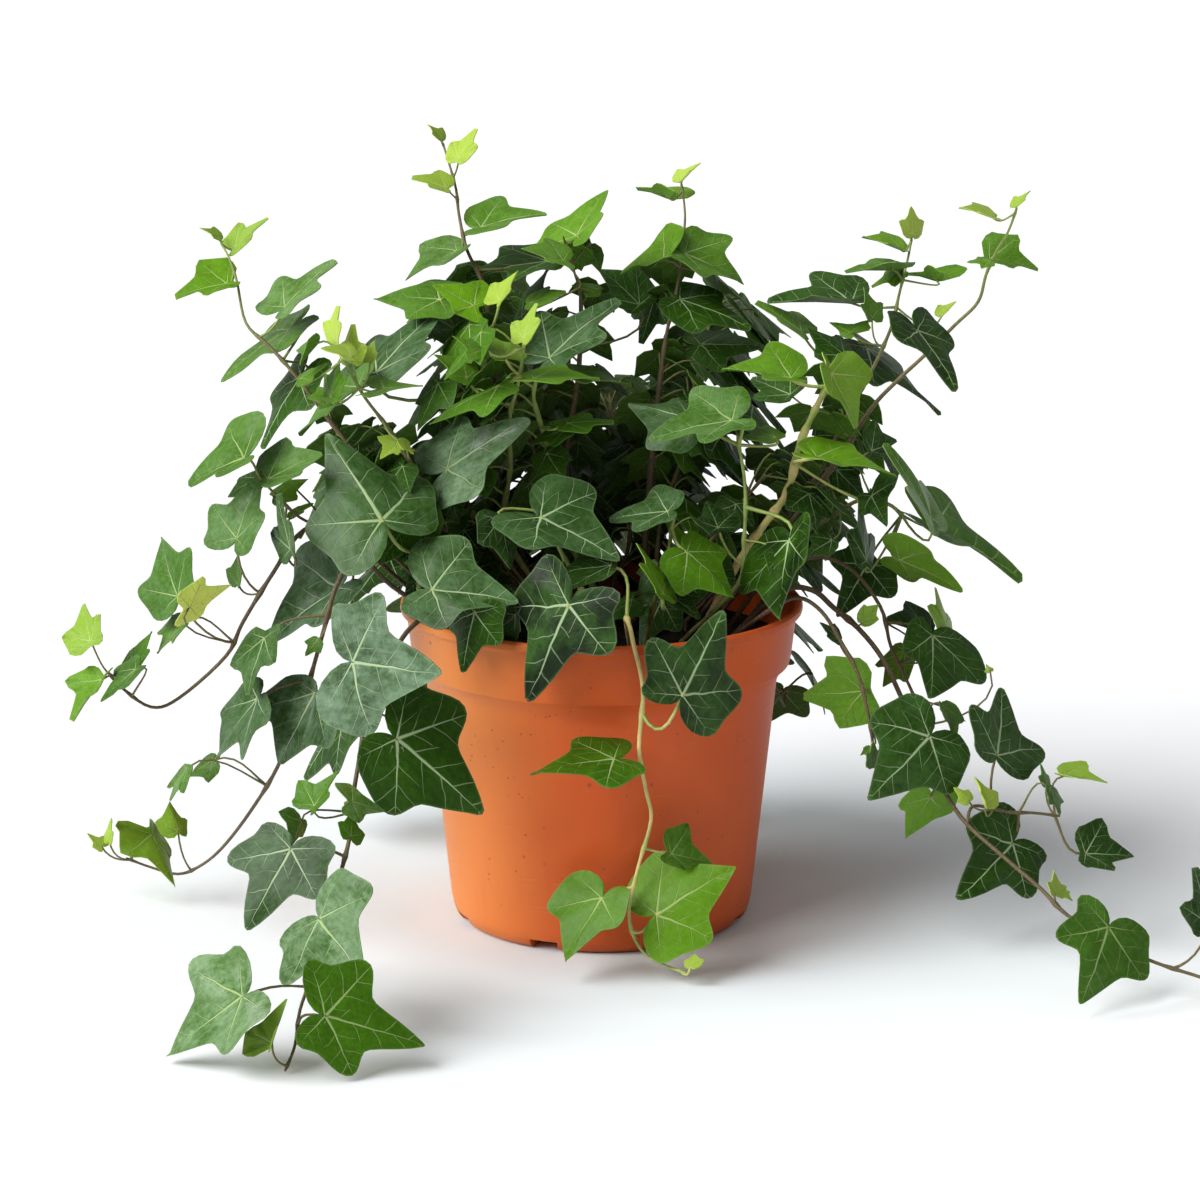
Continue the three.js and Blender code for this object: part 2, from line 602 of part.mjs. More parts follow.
// The side face of a stem to grow from: close to the aim and facing the right way.
function findSocket(body, aim, towards) {
  let best = { score: 1e9 };
  for (const face of body.free) {
    const [a, b, c] = body.faces[face].map((p) => body.points[p]);
    const [ab, ac, ap] = [sub(b, a), sub(c, a), sub(aim, a)];
    const normal = unit(cross(ab, ac));
    const [d00, d01, d11, d20, d21] = [dot(ab, ab), dot(ab, ac), dot(ac, ac), dot(ap, ab), dot(ap, ac)];
    const under = d00 * d11 - d01 * d01;
    let part = [0, (d11 * d20 - d01 * d21) / under, (d00 * d21 - d01 * d20) / under];
    part[0] = 1 - part[1] - part[2];
    part = part.map((w) => Math.max(0.2, w));
    const sum = part[0] + part[1] + part[2];
    part = part.map((w) => w / sum);
    const centre = add(add(mul(a, part[0]), mul(b, part[1])), mul(c, part[2]));
    const score = size(sub(centre, aim)) + 1.6 * (1 - dot(normal, towards));
    if (score >= best.score) continue;
    const longest = Math.max(size(ab), size(ac), size(sub(b, c)));
    const scale = Math.min(0.45, 3 / longest);
    const middle = mul(add(add(a, b), c), 1 / 3);
    const ring = [a, b, c].map((p) => add(centre, mul(sub(p, middle), scale)));
    best = { score, face, centre, normal, ring };
  }
  return best;
}

// Opens a small three-sided ring in a side face and gives its points.
function openSocket(body, socket) {
  const [a, b, c] = body.faces[socket.face];
  const first = body.points.length;
  const [p, q, r] = [first, first + 1, first + 2];
  body.points.push(...socket.ring);
  body.faces[socket.face] = [a, b, q];
  body.faces.push([a, q, p], [b, c, r], [b, r, q], [c, a, p], [c, p, r]);
  body.free = body.free.filter((face) => face !== socket.face);
  return [p, q, r];
}

// Half outlines of a leaf: degrees from the midrib and reach, in midrib lengths.
const outlines = {
  large: [[28, 0.6], [53, 0.75], [86, 0.59], [124, 0.5]],
  medium: [[29, 0.6], [53, 0.73], [110, 0.5]],
  small: [[51, 0.67], [116, 0.38]],
};
const lobeAngle = (52 * Math.PI) / 180;
const lobeReach = 0.74;

// One wing's point: a along the midrib, b towards the lobe, as parts of the two edges.
function wingPoint(leaf, edge, a, b) {
  const lobe = b / (Math.sin(lobeAngle) * lobeReach);
  const along = a - lobe * Math.cos(lobeAngle) * lobeReach;
  const reach = Math.hypot(a, b);
  const normal = edge === leaf.right ? leaf.rightNormal : leaf.leftNormal;
  const lift = leaf.size * leaf.cup * (0.06 * reach - 0.1 * reach * reach);
  return add(leaf.base, add(add(mul(leaf.mid, along), mul(edge, lobe)), mul(normal, lift)));
}

function finishLeaf(leaf) {
  leaf.size = size(leaf.mid);
  leaf.rightNormal = unit(cross(leaf.right, leaf.mid));
  leaf.leftNormal = unit(cross(leaf.mid, leaf.left));
  leaf.normal = unit(add(leaf.rightNormal, leaf.leftNormal));
  leaf.tip = wingPoint(leaf, leaf.right, 1, 0);
  return leaf;
}

// A leaf placed as seen: base, tip and lobes at their u and v. How far each point stands
// back follows from how much shorter or narrower than a flat leaf it is seen.
function seenLeaf(row, near, seed) {
  const [baseU, baseV, tipU, tipV, , tilt, age, oneU, oneV, twoU, twoV] = row;
  const scale = viewFocal / (viewDistance - near);
  const below = age === "u" ? -1 : 1;
  const flat = (u, v) => [(u - baseU) / scale, (baseV - v) / scale];
  const mid = flat(tipU, tipV);
  const turn = (p) => mid[0] * p[1] - mid[1] * p[0];
  const one = { u: oneU, v: oneV, at: flat(oneU, oneV) };
  const two = { u: twoU, v: twoV, at: flat(twoU, twoV) };
  const oneLeft = turn(one.at) > turn(two.at) === below > 0;
  const left = oneLeft ? one : two;
  const right = oneLeft ? two : one;
  const wide = 2 * lobeReach * Math.sin(lobeAngle);
  const across = [(left.at[0] - right.at[0]) / wide, (left.at[1] - right.at[1]) / wide];
  // the leaf's own two directions as seen, and the one seen shortened
  const mm = mid[0] * mid[0] + mid[1] * mid[1];
  const mw = mid[0] * across[0] + mid[1] * across[1];
  const ww = across[0] * across[0] + across[1] * across[1];
  const middle = (mm + ww) / 2;
  const spread = Math.sqrt(((mm - ww) / 2) ** 2 + mw * mw);
  const short = Math.atan2(middle - spread - mm, mw);
  const turned = Math.abs(mw) < 1e-6 ? [mm > ww ? 0 : 1, mm > ww ? 1 : 0] : [Math.cos(short), Math.sin(short)];
  const deep = Math.sqrt(2 * spread);
  const length = Math.sqrt(middle + spread);
  // faces up and outwards
  const outward = Math.max(-1, Math.min(1, (baseU - 602) / 400));
  const lean = (p) => -p[1] - 0.5 * outward * p[0];
  const stand = [lean(mid), lean(across)];
  const way = Math.sign(stand[0] * turned[0] + stand[1] * turned[1] + 1e-9) * below;
  const extra = deep < 0.6 * length ? 0.5 * (tilt + 0.12) * below : 0;
  const depth = (x, y) => way * deep * (turned[0] * x + turned[1] * y) + extra * (stand[0] * x + stand[1] * y);
  const random = draws(seed);
  const fold = (0.04 + 0.1 * random()) * length * below;
  const [x, y] = [lobeReach * Math.cos(lobeAngle), lobeReach * Math.sin(lobeAngle)];
  const base = seen(baseU, baseV, near);
  return finishLeaf({
    base,
    mid: sub(seen(tipU, tipV, near + depth(1, 0)), base),
    right: sub(seen(right.u, right.v, near + depth(x, -y) - fold), base),
    left: sub(seen(left.u, left.v, near + depth(x, y) - fold), base),
    cup: 0.5 + random(),
  });
}

// A leaf placed by rule at a point of a stem, alternating from side to side. Later tries
// swing further round and are smaller.
function ruledLeaf(at, index, seed, attempt) {
  const random = draws(seed + 977 * attempt);
  const out = unit([at[0], at[1], 0.001]);
  const wide = 34 + 26 * random() + 5 * attempt * (random() - 0.5);
  const turn = (index % 2 ? 1 : -1) * wide * (Math.PI / 180);
  const away = [
    out[0] * Math.cos(turn) - out[1] * Math.sin(turn),
    out[0] * Math.sin(turn) + out[1] * Math.cos(turn),
    0,
  ];
  const reach = 8 + 12 * random();
  const rise = 0.1 + 0.7 * random() - 0.5 * (attempt > 6 ? random() : 0);
  const base = add(at, mul(unit([away[0], away[1], rise]), reach));
  const length = (18 + 12 * random()) * (1 - 0.012 * attempt);
  const face = unit([away[0] * 0.8, away[1] * 0.8, 0.4 + 0.7 * random()]);
  const twist = 0.7 * (random() - 0.5);
  const side = unit(cross([0, 0, 1], away));
  let mid = add(add(mul(away, 0.4), [0, 0, -0.8 + 0.6 * random()]), mul(side, twist));
  mid = mul(unit(sub(mid, mul(face, dot(mid, face)))), length);
  const across = unit(cross(mid, face));
  const lobe = (sign) => add(
    add(mul(mid, Math.cos(lobeAngle) * 0.72), mul(across, sign * Math.sin(lobeAngle) * 0.72 * length)),
    mul(face, -0.12 * length),
  );
  return finishLeaf({ base, mid, right: lobe(1), left: lobe(-1), cup: 0.5 + random() });
}

// The petiole's middle line, from the leaf's base back to the stem.
function petioleLine(socket, leaf) {
  const from = socket.centre;
  const span = size(sub(leaf.base, from));
  const parts = span > 8 ? 2 : 1;
  const back = mul(unit(leaf.mid), -Math.min(0.42 * span, 9));
  const under = mul(leaf.normal, -Math.min(0.14 * span, 3));
  const hold = add(leaf.base, add(back, under));
  const start = add(mix(from, hold, 0.25), mul(socket.normal, Math.min(0.2 * span, 3)));
  const line = [];
  for (let i = parts; i >= 0; i -= 1) {
    const t = i / parts;
    const s = 1 - t;
    let p = mul(from, s * s * s);
    p = add(p, mul(start, 3 * s * s * t));
    p = add(p, mul(hold, 3 * s * t * t));
    line.push(add(p, mul(leaf.base, t * t * t)));
  }
  return line;
}

// A leaf's blade with the rings of its petiole along a line, left open at the end.
function leafMesh(leaf, line) {
  const kind = leaf.size > 21 ? "large" : leaf.size > 11 ? "medium" : "small";
  const half = outlines[kind];
  const rad = Math.PI / 180;
  const thick = bladeThickness / 2;
  const top = [];
  const bottom = [];
  const put = (point, normal, wide) => {
    top.push(add(point, mul(normal, thick * wide)));
    bottom.push(add(point, mul(normal, -thick * wide)));
  };
  for (const [angle, reach] of [...half].reverse()) {
    const [a, b] = [reach * Math.cos(angle * rad), reach * Math.sin(angle * rad)];
    put(wingPoint(leaf, leaf.right, a, b), leaf.rightNormal, 1);
  }
  const open = Math.max(0.62, dot(leaf.normal, leaf.rightNormal));
  put(leaf.tip, leaf.normal, 1 / open);
  for (const [angle, reach] of half) {
    const [a, b] = [reach * Math.cos(angle * rad), reach * Math.sin(angle * rad)];
    put(wingPoint(leaf, leaf.left, a, b), leaf.leftNormal, 1);
  }
  // points: top loop, bottom loop, then the petiole's rings of three from base to stem
  const count = top.length;
  const apex = half.length;
  const ringStart = 2 * count;
  const points = [...top, ...bottom];
  let normal = leaf.normal;
  for (let i = 0; i < line.length; i += 1) {
    const behind = line[Math.min(i + 1, line.length - 1)];
    const along = i === 0 ? unit(leaf.mid) : unit(sub(line[i - 1], behind));
    normal = unit(sub(normal, mul(along, dot(normal, along))));
    const side = cross(along, normal);
    const r = petioleRadius;
    points.push(add(line[i], mul(normal, r)));
    points.push(add(line[i], add(mul(normal, -0.7 * r), mul(side, -r))));
    points.push(add(line[i], add(mul(normal, -0.7 * r), mul(side, r))));
  }
  const [middle, low, high] = [ringStart, ringStart + 1, ringStart + 2];
  const faces = [];
  for (let i = 0; i < count - 1; i += 1) {
    faces.push([middle, i, i + 1]);
    faces.push([i < apex ? high : low, count + i + 1, count + i]);
    faces.push([count + i, count + i + 1, i + 1]);
    faces.push([count + i, i + 1, i]);
  }
  faces.push([low, count + apex, high]);
  faces.push([high, count, 0]);
  faces.push([high, 0, middle]);
  faces.push([2 * count - 1, low, middle]);
  faces.push([2 * count - 1, middle, count - 1]);
  for (let i = 0; i < line.length - 1; i += 1) {
    for (let k = 0; k < 3; k += 1) {
      const next = (k + 1) % 3;
      const r = ringStart + 3 * i;
      faces.push([r + k, r + next, r + next + 3]);
      faces.push([r + k, r + next + 3, r + k + 3]);
    }
  }
  const end = ringStart + 3 * (line.length - 1);
  return { points, faces, ring: [end, end + 1, end + 2] };
}

const closedLeaf = (mesh) => solidFrom({ points: mesh.points, faces: [...mesh.faces, mesh.ring] });

// Grows a leaf out of a socket of its stem.
function attachLeaf(body, mesh, socket) {
  const [p, q, r] = openSocket(body, socket);
  const shift = body.points.length;
  body.points.push(...mesh.points);
  body.faces.push(...mesh.faces.map((face) => face.map((k) => k + shift)));
  const ring = mesh.ring.map((k) => k + shift);
  const end = bestTurn(body, ring, [p, r, q]);
  for (let k = 0; k < 3; k += 1) {
    const next = (k + 1) % 3;
    body.faces.push([ring[k], ring[next], end[next]]);
    body.faces.push([ring[k], end[next], end[k]]);
  }
}

const boxOf = (solid) => {
  const box = solid.boundingBox();
  return [box.min, box.max];
};
const near = (a, b, gap) => [0, 1, 2].every((k) => a[0][k] < b[1][k] + gap && b[0][k] < a[1][k] + gap);

// True when the solid keeps its gap to all the others.
function clearOf(solid, others) {
  const box = boxOf(solid);
  if (box[0][2] < floorGap) return false;
  return others.every(
    (other) => !near(box, other.box, clearGap) || solid.minGap(other.solid, clearGap) >= clearGap,
  );
}

// A closed geometry as a solid that can be joined and cut.
function solidOf(geometry) {
  geometry.deleteAttribute("normal");
  geometry.deleteAttribute("uv");
  const merged = mergeVertices(geometry, 1e-4);
  const points = merged.attributes.position.array;
  const index = [...merged.index.array];
  const faces = [];
  for (let i = 0; i < index.length; i += 3) {
    const [a, b, c] = index.slice(i, i + 3);
    if (a !== b && b !== c && c !== a) faces.push(a, b, c);
  }
  return new Manifold(
    new Mesh({
      numProp: 3,
      vertProperties: new Float32Array(points),
      triVerts: new Uint32Array(faces),
    }),
  );
}

// A round form about Z from a profile of radius and height that starts and ends on it.
function turned(profile, sides) {
  const points = profile.map(([radius, height]) => new THREE.Vector2(radius, height));
  return new THREE.LatheGeometry(points, sides).rotateX(Math.PI / 2);
}

function potSolid() {
  const outer = [
    [0, 0], [padRadius, 0], [padRadius, footHeight], [footInner, footHeight], [footInner, 0],
    [footOuter, 0], [45.6, 1.8], [46.6, 6], [53.9, 76.2], [57.6, 80.6], [59.5, 95.2],
    [lipRadius, 96.2], [lipRadius, 98.5], [60.6, potHeight], [59.6, potHeight],
  ];
  const inner = [[56.6, 82], [52.6, 77], [44.6, plateTop], [0, plateTop]];
  const cuts = [];
  for (let i = 0; i < drainCount; i += 1) {
    const angle = (2 * Math.PI * (i + 0.25)) / drainCount;
    const hole = new THREE.CylinderGeometry(drainRadius, drainRadius, 4, 6).rotateX(Math.PI / 2);
    hole.translate(drainCircle * Math.cos(angle), drainCircle * Math.sin(angle), 5);
    cuts.push(solidOf(hole));
  }
  for (let i = 0; i < notchCount; i += 1) {
    const notch = new THREE.BoxGeometry(14, notchWidth, 4.2).translate(42, 0, 1.3);
    cuts.push(solidOf(notch.rotateZ((2 * Math.PI * (i + 0.5)) / notchCount)));
  }
  return cuts.reduce((pot, cut) => pot.subtract(cut), solidOf(turned([...outer, ...inner], potSides)));
}

// The soil's top is uneven: a few waves and a slow fall to the wall.
function soilRelief(x, y) {
  const waves = 0.9 * Math.sin(x * 0.21 + 1.3) * Math.cos(y * 0.17) + 0.7 * Math.sin(0.31 * (x + y));
  return waves - 0.0008 * (x * x + y * y);
}

function soilSolid(roots) {
  const s = soilGap;
  const bed = turned(
    [
      [0, plateTop + s], [44.6 - s, plateTop + s], [52.5 - s, 76.8], [55.7, 81.7], [56, soilTop],
      [38, soilTop], [18, soilTop], [0, soilTop],
    ],
    potSides,
  );
  const at = bed.attributes.position;
  for (let i = 0; i < at.count; i += 1) {
    if (at.getZ(i) > soilTop - 1) at.setZ(i, at.getZ(i) + soilRelief(at.getX(i), at.getY(i)));
  }
  const holes = roots.map(([x, y, radius]) => {
    const wide = radius + 2 * holeGap;
    const hole = new THREE.CylinderGeometry(wide, wide, holeDepth + 6, 3).rotateX(-Math.PI / 2);
    return solidOf(hole.translate(x, y, soilTop + 3 - holeDepth / 2));
  });
  return holes.reduce((soil, hole) => soil.subtract(hole), solidOf(bed));
}

// A ruled stem's own points, from its angle, reach and height.
function ruledPlan([name, angle, root, climb, reach, height, count, seed]) {
  const a = (angle * Math.PI) / 180;
  const random = draws(seed);
  const out = [Math.cos(a), Math.sin(a)];
  const side = [-out[1], out[0]];
  const at = (r, s, z) => [out[0] * r + side[0] * s, out[1] * r + side[1] * s, z];
  const sway = () => 8 * (random() - 0.5);
  const hangs = height < 90;
  const points = hangs
    ? [at(root + 12, sway(), soilTop + climb), at(68, sway(), soilTop + climb + 1),
      at(0.45 * 68 + 0.55 * reach, sway(), (soilTop + 2 * height) / 3 + 12), at(reach - 4, sway(), height + 8),
      at(reach + 6, sway(), height)]
    : [at(root + 8, sway(), soilTop + 0.4 * climb), at(0.6 * root + 0.4 * reach, sway(), (soilTop + height) / 2),
      at(0.3 * root + 0.7 * reach, sway(), 0.25 * soilTop + 0.75 * height), at(reach, sway(), height)];
  const own = { name, root: [out[0] * root, out[1] * root], thick: [1.15, 0.6], points, seed, count };
  return own;
}

const plans = [...stems, ...ruled.map(ruledPlan)];
const radiusOf = (plan) => (t) => plan.thick[0] + (plan.thick[1] - plan.thick[0]) * t;
const shifts = [0, 3, -3, 6, -6, 9, -9, 13, -13, 18, -18, 24, -24];
const attempts = [...Array(36).keys()];

const placed = [];
const dropped = [];
const pot = potSolid();
placed.push({ name: "pot", solid: pot, box: boxOf(pot) });

function placeStem(plan) {
  for (const shift of shifts) {
    const line = stemLine(plan, shift, plan.points ? 2 : 1);
    const body = { points: [], faces: [], free: [] };
    addTube(body, line, radiusOf(plan), 2, null);
    if (plan.branch) {
      const side = smooth(plan.branch.map(([u, v, n]) => seen(u, v, n + shift)), 1);
      const socket = findSocket(body, side[0], unit(sub(side[1], side[0])));
      addTube(body, side.slice(1), (t) => 0.8 - 0.2 * t, 0, openSocket(body, socket));
      plan.sideLine = side;
    }
    const solid = solidFrom(body);
    if (clearOf(solid, placed)) {
      Object.assign(plan, { line, body, stem: solid });
      placed.push({ name: plan.name, solid, box: boxOf(solid) });
      return true;
    }
    if (plan.points) break;
  }
  return false;
}

// True when a new leaf's blade keeps clear of its own stem and of the leaves beside it.
function freeOf(blade, solid, stem, own, gap) {
  if (blade.minGap(stem, gap) < gap) return false;
  const box = boxOf(solid);
  const beside = own.filter((one) => near(box, one.box, gap));
  return beside.every((one) => blade.minGap(one.solid, gap) >= gap && solid.minGap(one.blade, gap) >= gap);
}

// One way to place a leaf of a plan: its shape and the point of the stem it grows from.
function tryLeaf(plan, row, index, seed, move) {
  if (plan.leaves) {
    const lines = [plan.line, plan.sideLine].filter(Boolean);
    const spots = lines.map((line, k) => nearestSeen(line, row, k === 0 ? 3 : 2));
    const spot = spots.sort((a, b) => a.far - b.far)[0].point;
    return { spot, leaf: seenLeaf(row, -spot[1] + row[4] + move, seed) };
  }
  const place = 2.5 + ((plan.line.length - 3.6) * (index + 1)) / plan.count;
  const step = Math.min(Math.floor(place), plan.line.length - 2);
  const spot = mix(plan.line[step], plan.line[step + 1], place - step);
  return { spot, leaf: ruledLeaf(spot, index, seed, move) };
}

function placeLeaves(plan, number) {
  const rows = plan.leaves ?? [...Array(plan.count).keys()];
  const moves = plan.leaves ? shifts : attempts;
  rows.forEach((row, i) => {
    const others = placed.filter((one) => one.name !== plan.name);
    const own = placed.filter((one) => one.name === plan.name && one.blade);
    for (const gap of [0.3, 0.05]) {
      for (const move of moves) {
        const { spot, leaf } = tryLeaf(plan, row, i, number * 40 + i, move);
        const socket = findSocket(plan.body, spot, unit(sub(leaf.base, spot)));
        const line = petioleLine(socket, leaf);
        const mesh = leafMesh(leaf, line.slice(0, -1));
        const foot = add(socket.centre, mul(socket.normal, 0.3));
        const solid = closedLeaf(leafMesh(leaf, [...line.slice(0, -1), foot]));
        const blade = closedLeaf(mesh);
        if (!clearOf(solid, others) || !freeOf(blade, solid, plan.stem, own, gap)) continue;
        attachLeaf(plan.body, mesh, socket);
        placed.push({ name: plan.name, blade, solid, box: boxOf(solid) });
        return;
      }
    }
    dropped.push(`${plan.name} ${i}`);
  });
}

// The point of a line that is seen nearest to a leaf's base, a little behind it.
function nearestSeen(line, row, first) {
  const [baseU, baseV, tipU, tipV] = row;
  const length = Math.hypot(tipU - baseU, tipV - baseV);
  const aimU = baseU - (14 * (tipU - baseU)) / length;
  const aimV = baseV - (14 * (tipV - baseV)) / length;
  let best = { far: 1e9 };
  for (let i = first; i < line.length; i += 1) {
    const point = mix(line[i - 1], line[i], i < line.length - 1 ? 0.5 : 0.85);
    const at = seen(aimU, aimV, -point[1]);
    const far = size(sub(point, at));
    if (far < best.far) best = { far, point };
  }
  return best;
}

for (const plan of plans) {
  if (!placeStem(plan)) dropped.push(plan.name);
}
const standing = plans.filter((plan) => plan.line);
const soil = soilSolid(standing.map((plan) => [...plan.root, plan.thick[0]]));
placed.push({ name: "soil", solid: soil, box: boxOf(soil) });
plans.forEach((plan, number) => {
  if (plan.line) placeLeaves(plan, number);
});

function meshOf(name, points, faces, colour, roughness) {
  const geometry = new THREE.BufferGeometry();
  geometry.setAttribute("position", new THREE.BufferAttribute(new Float32Array(points), 3));
  geometry.setIndex(new THREE.BufferAttribute(new Uint32Array(faces), 1));
  geometry.computeVertexNormals();
  const made = new THREE.Mesh(
    geometry,
    new THREE.MeshStandardMaterial({ color: colour, roughness, metalness: 0 }),
  );
  made.name = name;
  return made;
}

function meshOfSolid(name, solid, colour, roughness) {
  const mesh = solid.getMesh();
  return meshOf(name, mesh.vertProperties, mesh.triVerts, colour, roughness);
}

const ivy = new THREE.Group();
ivy.name = "potted_ivy";
ivy.add(meshOfSolid("pot", pot, "#c9552b", 0.45));
ivy.add(meshOfSolid("soil", soil, "#1b130d", 0.95));
for (const plan of standing) {
  ivy.add(meshOf(plan.name, plan.body.points.flat(), plan.body.faces.flat(), "#3f6b2a", 0.5));
}
ivy.userData.left = dropped;

export default ivy;
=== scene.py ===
import functools
import math
import bpy
import numpy as np
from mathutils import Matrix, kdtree


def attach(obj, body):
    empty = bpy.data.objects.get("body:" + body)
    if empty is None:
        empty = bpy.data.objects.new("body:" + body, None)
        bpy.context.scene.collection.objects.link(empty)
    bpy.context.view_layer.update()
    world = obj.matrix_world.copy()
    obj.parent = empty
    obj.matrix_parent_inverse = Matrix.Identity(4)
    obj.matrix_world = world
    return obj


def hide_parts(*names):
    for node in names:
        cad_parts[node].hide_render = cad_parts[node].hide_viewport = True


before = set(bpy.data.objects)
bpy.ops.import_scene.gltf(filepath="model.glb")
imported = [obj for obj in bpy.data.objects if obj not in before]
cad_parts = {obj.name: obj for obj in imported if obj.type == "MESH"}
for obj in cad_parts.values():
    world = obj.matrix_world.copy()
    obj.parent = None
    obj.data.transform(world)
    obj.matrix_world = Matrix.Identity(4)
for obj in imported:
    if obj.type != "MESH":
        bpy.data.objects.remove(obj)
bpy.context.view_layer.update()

mm = 0.001
print("frame loaded:", len(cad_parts), "nodes")

# the camera's view; the routes below are laid out in it: u to the right, v down, 1200 across
viewSettings = {
    "pitch": 13.4, "distance": 1091.5, "centre": (-0.48, 0, 98.5),
    "focal": 3575, "middle": 600, "lens": 107.25, "film": 36, "farthest": 100,
}
viewMiddle, viewFocal, viewDistance = (viewSettings[key] for key in ("middle", "focal", "distance"))
viewPitch = math.radians(viewSettings["pitch"])
viewForward = np.array([0, math.cos(viewPitch), -math.sin(viewPitch)])
viewUp = np.array([0, math.sin(viewPitch), math.cos(viewPitch)])
viewEye = np.array(viewSettings["centre"]) - viewForward * viewDistance


def addObject(name, data):
    made = bpy.data.objects.new(name, data)
    bpy.context.scene.collection.objects.link(made)
    return made


def addCamera():
    data = bpy.data.cameras.new("viewCamera")
    data.lens = viewSettings["lens"]
    data.sensor_width = viewSettings["film"]
    data.clip_end = viewSettings["farthest"]
    camera = addObject("viewCamera", data)
    camera.location = viewEye * mm
    camera.rotation_euler = (math.pi / 2 - viewPitch, 0, 0)
    bpy.context.scene.camera = camera


addCamera()


# the point seen at u, v that lies near mm in front of the pot's axis
def seen(u, v, near):
    across, up = (u - viewMiddle) / viewFocal, (viewMiddle - v) / viewFocal
    ray = viewForward + np.array([across, 0, 0]) + viewUp * up
    return viewEye + ray * ((-near - viewEye[1]) / ray[1])


# the u, v at which a point is seen
def seenAt(point):
    ray = point - viewEye
    deep = float(ray @ viewForward)
    return viewMiddle + viewFocal * ray[0] / deep, viewMiddle - viewFocal * float(ray @ viewUp) / deep


def size(a):
    return math.sqrt(float(a @ a))


def unit(a):
    return a / max(size(a), 1e-9)


drawSettings = {"offset": 11, "first": 7919, "step": 16807, "wrap": 2147483647}


# even draws from a whole number, always the same ones
def draws(seed):
    state = [(seed + drawSettings["offset"]) * drawSettings["first"] % drawSettings["wrap"]]

    def draw():
        state[0] = state[0] * drawSettings["step"] % drawSettings["wrap"]
        return state[0] / drawSettings["wrap"]

    draw()
    draw()
    return draw


def pickOnly(*pieces):
    if bpy.context.mode != "OBJECT":
        bpy.ops.object.mode_set(mode="OBJECT")
    bpy.ops.object.select_all(action="DESELECT")
    for piece in pieces:
        piece.select_set(True)
    if pieces:
        bpy.context.view_layer.objects.active = pieces[0]


def applyModifier(piece, kind, settings):
    pickOnly(piece)
    modifier = piece.modifiers.new(kind.title(), kind)
    for key, value in settings.items():
        setattr(modifier, key, value)
    bpy.ops.object.modifier_apply(modifier=modifier.name)


# in edit mode: an edge drawn out from the selected one, to be resized or moved next
def drawOut(extrude):
    extrude(TRANSFORM_OT_translate={"value": (0, 0, 0)})


# from edit mode, with all faces turned outward, back to object mode
def closeEdit():
    bpy.ops.mesh.select_all(action="SELECT")
    bpy.ops.mesh.normals_make_consistent(inside=False)
    bpy.ops.object.mode_set(mode="OBJECT")


# smooth where faces meet at less than the angle, in degrees
def shadeSmooth(piece, angle):
    pickOnly(piece)
    bpy.ops.object.shade_smooth_by_angle(angle=math.radians(angle))


def giveFinishes(piece, finishes):
    piece.data.materials.clear()
    for finish in finishes:
        piece.data.materials.append(finish)


def corners(mesh):
    flat = np.empty(len(mesh.vertices) * 3)
    mesh.vertices.foreach_get("co", flat)
    return flat.reshape(-1, 3)


def setCorners(mesh, points):
    mesh.vertices.foreach_set("co", np.asarray(points, dtype=float).ravel())
    mesh.update()


# finishes
def paint(red, green, blue):
    def linear(c):
        c = c / 255
        return c / 12.92 if c <= 0.04045 else ((c + 0.055) / 1.055) ** 2.4
    return (linear(red), linear(green), linear(blue), 1)


# a value in a finish; sums and products of it add Math nodes
class Signal:
    def __init__(self, finish, socket):
        self.finish, self.socket = finish, socket

    def math(self, operation, *others):
        return self.finish.math(operation, self, *others)

    def __add__(self, other):
        return self.math("ADD", other)

    def __sub__(self, other):
        return self.math("SUBTRACT", other)

    def __rsub__(self, other):
        return self.finish.math("SUBTRACT", other, self)

    def __mul__(self, other):
        return self.math("MULTIPLY", other)

    def __truediv__(self, other):
        return self.math("DIVIDE", other)

    def __gt__(self, other):
        return self.math("GREATER_THAN", other)

    def __lt__(self, other):
        return self.math("LESS_THAN", other)

    def __abs__(self):
        return self.math("ABSOLUTE")

    __radd__, __rmul__ = __add__, __mul__


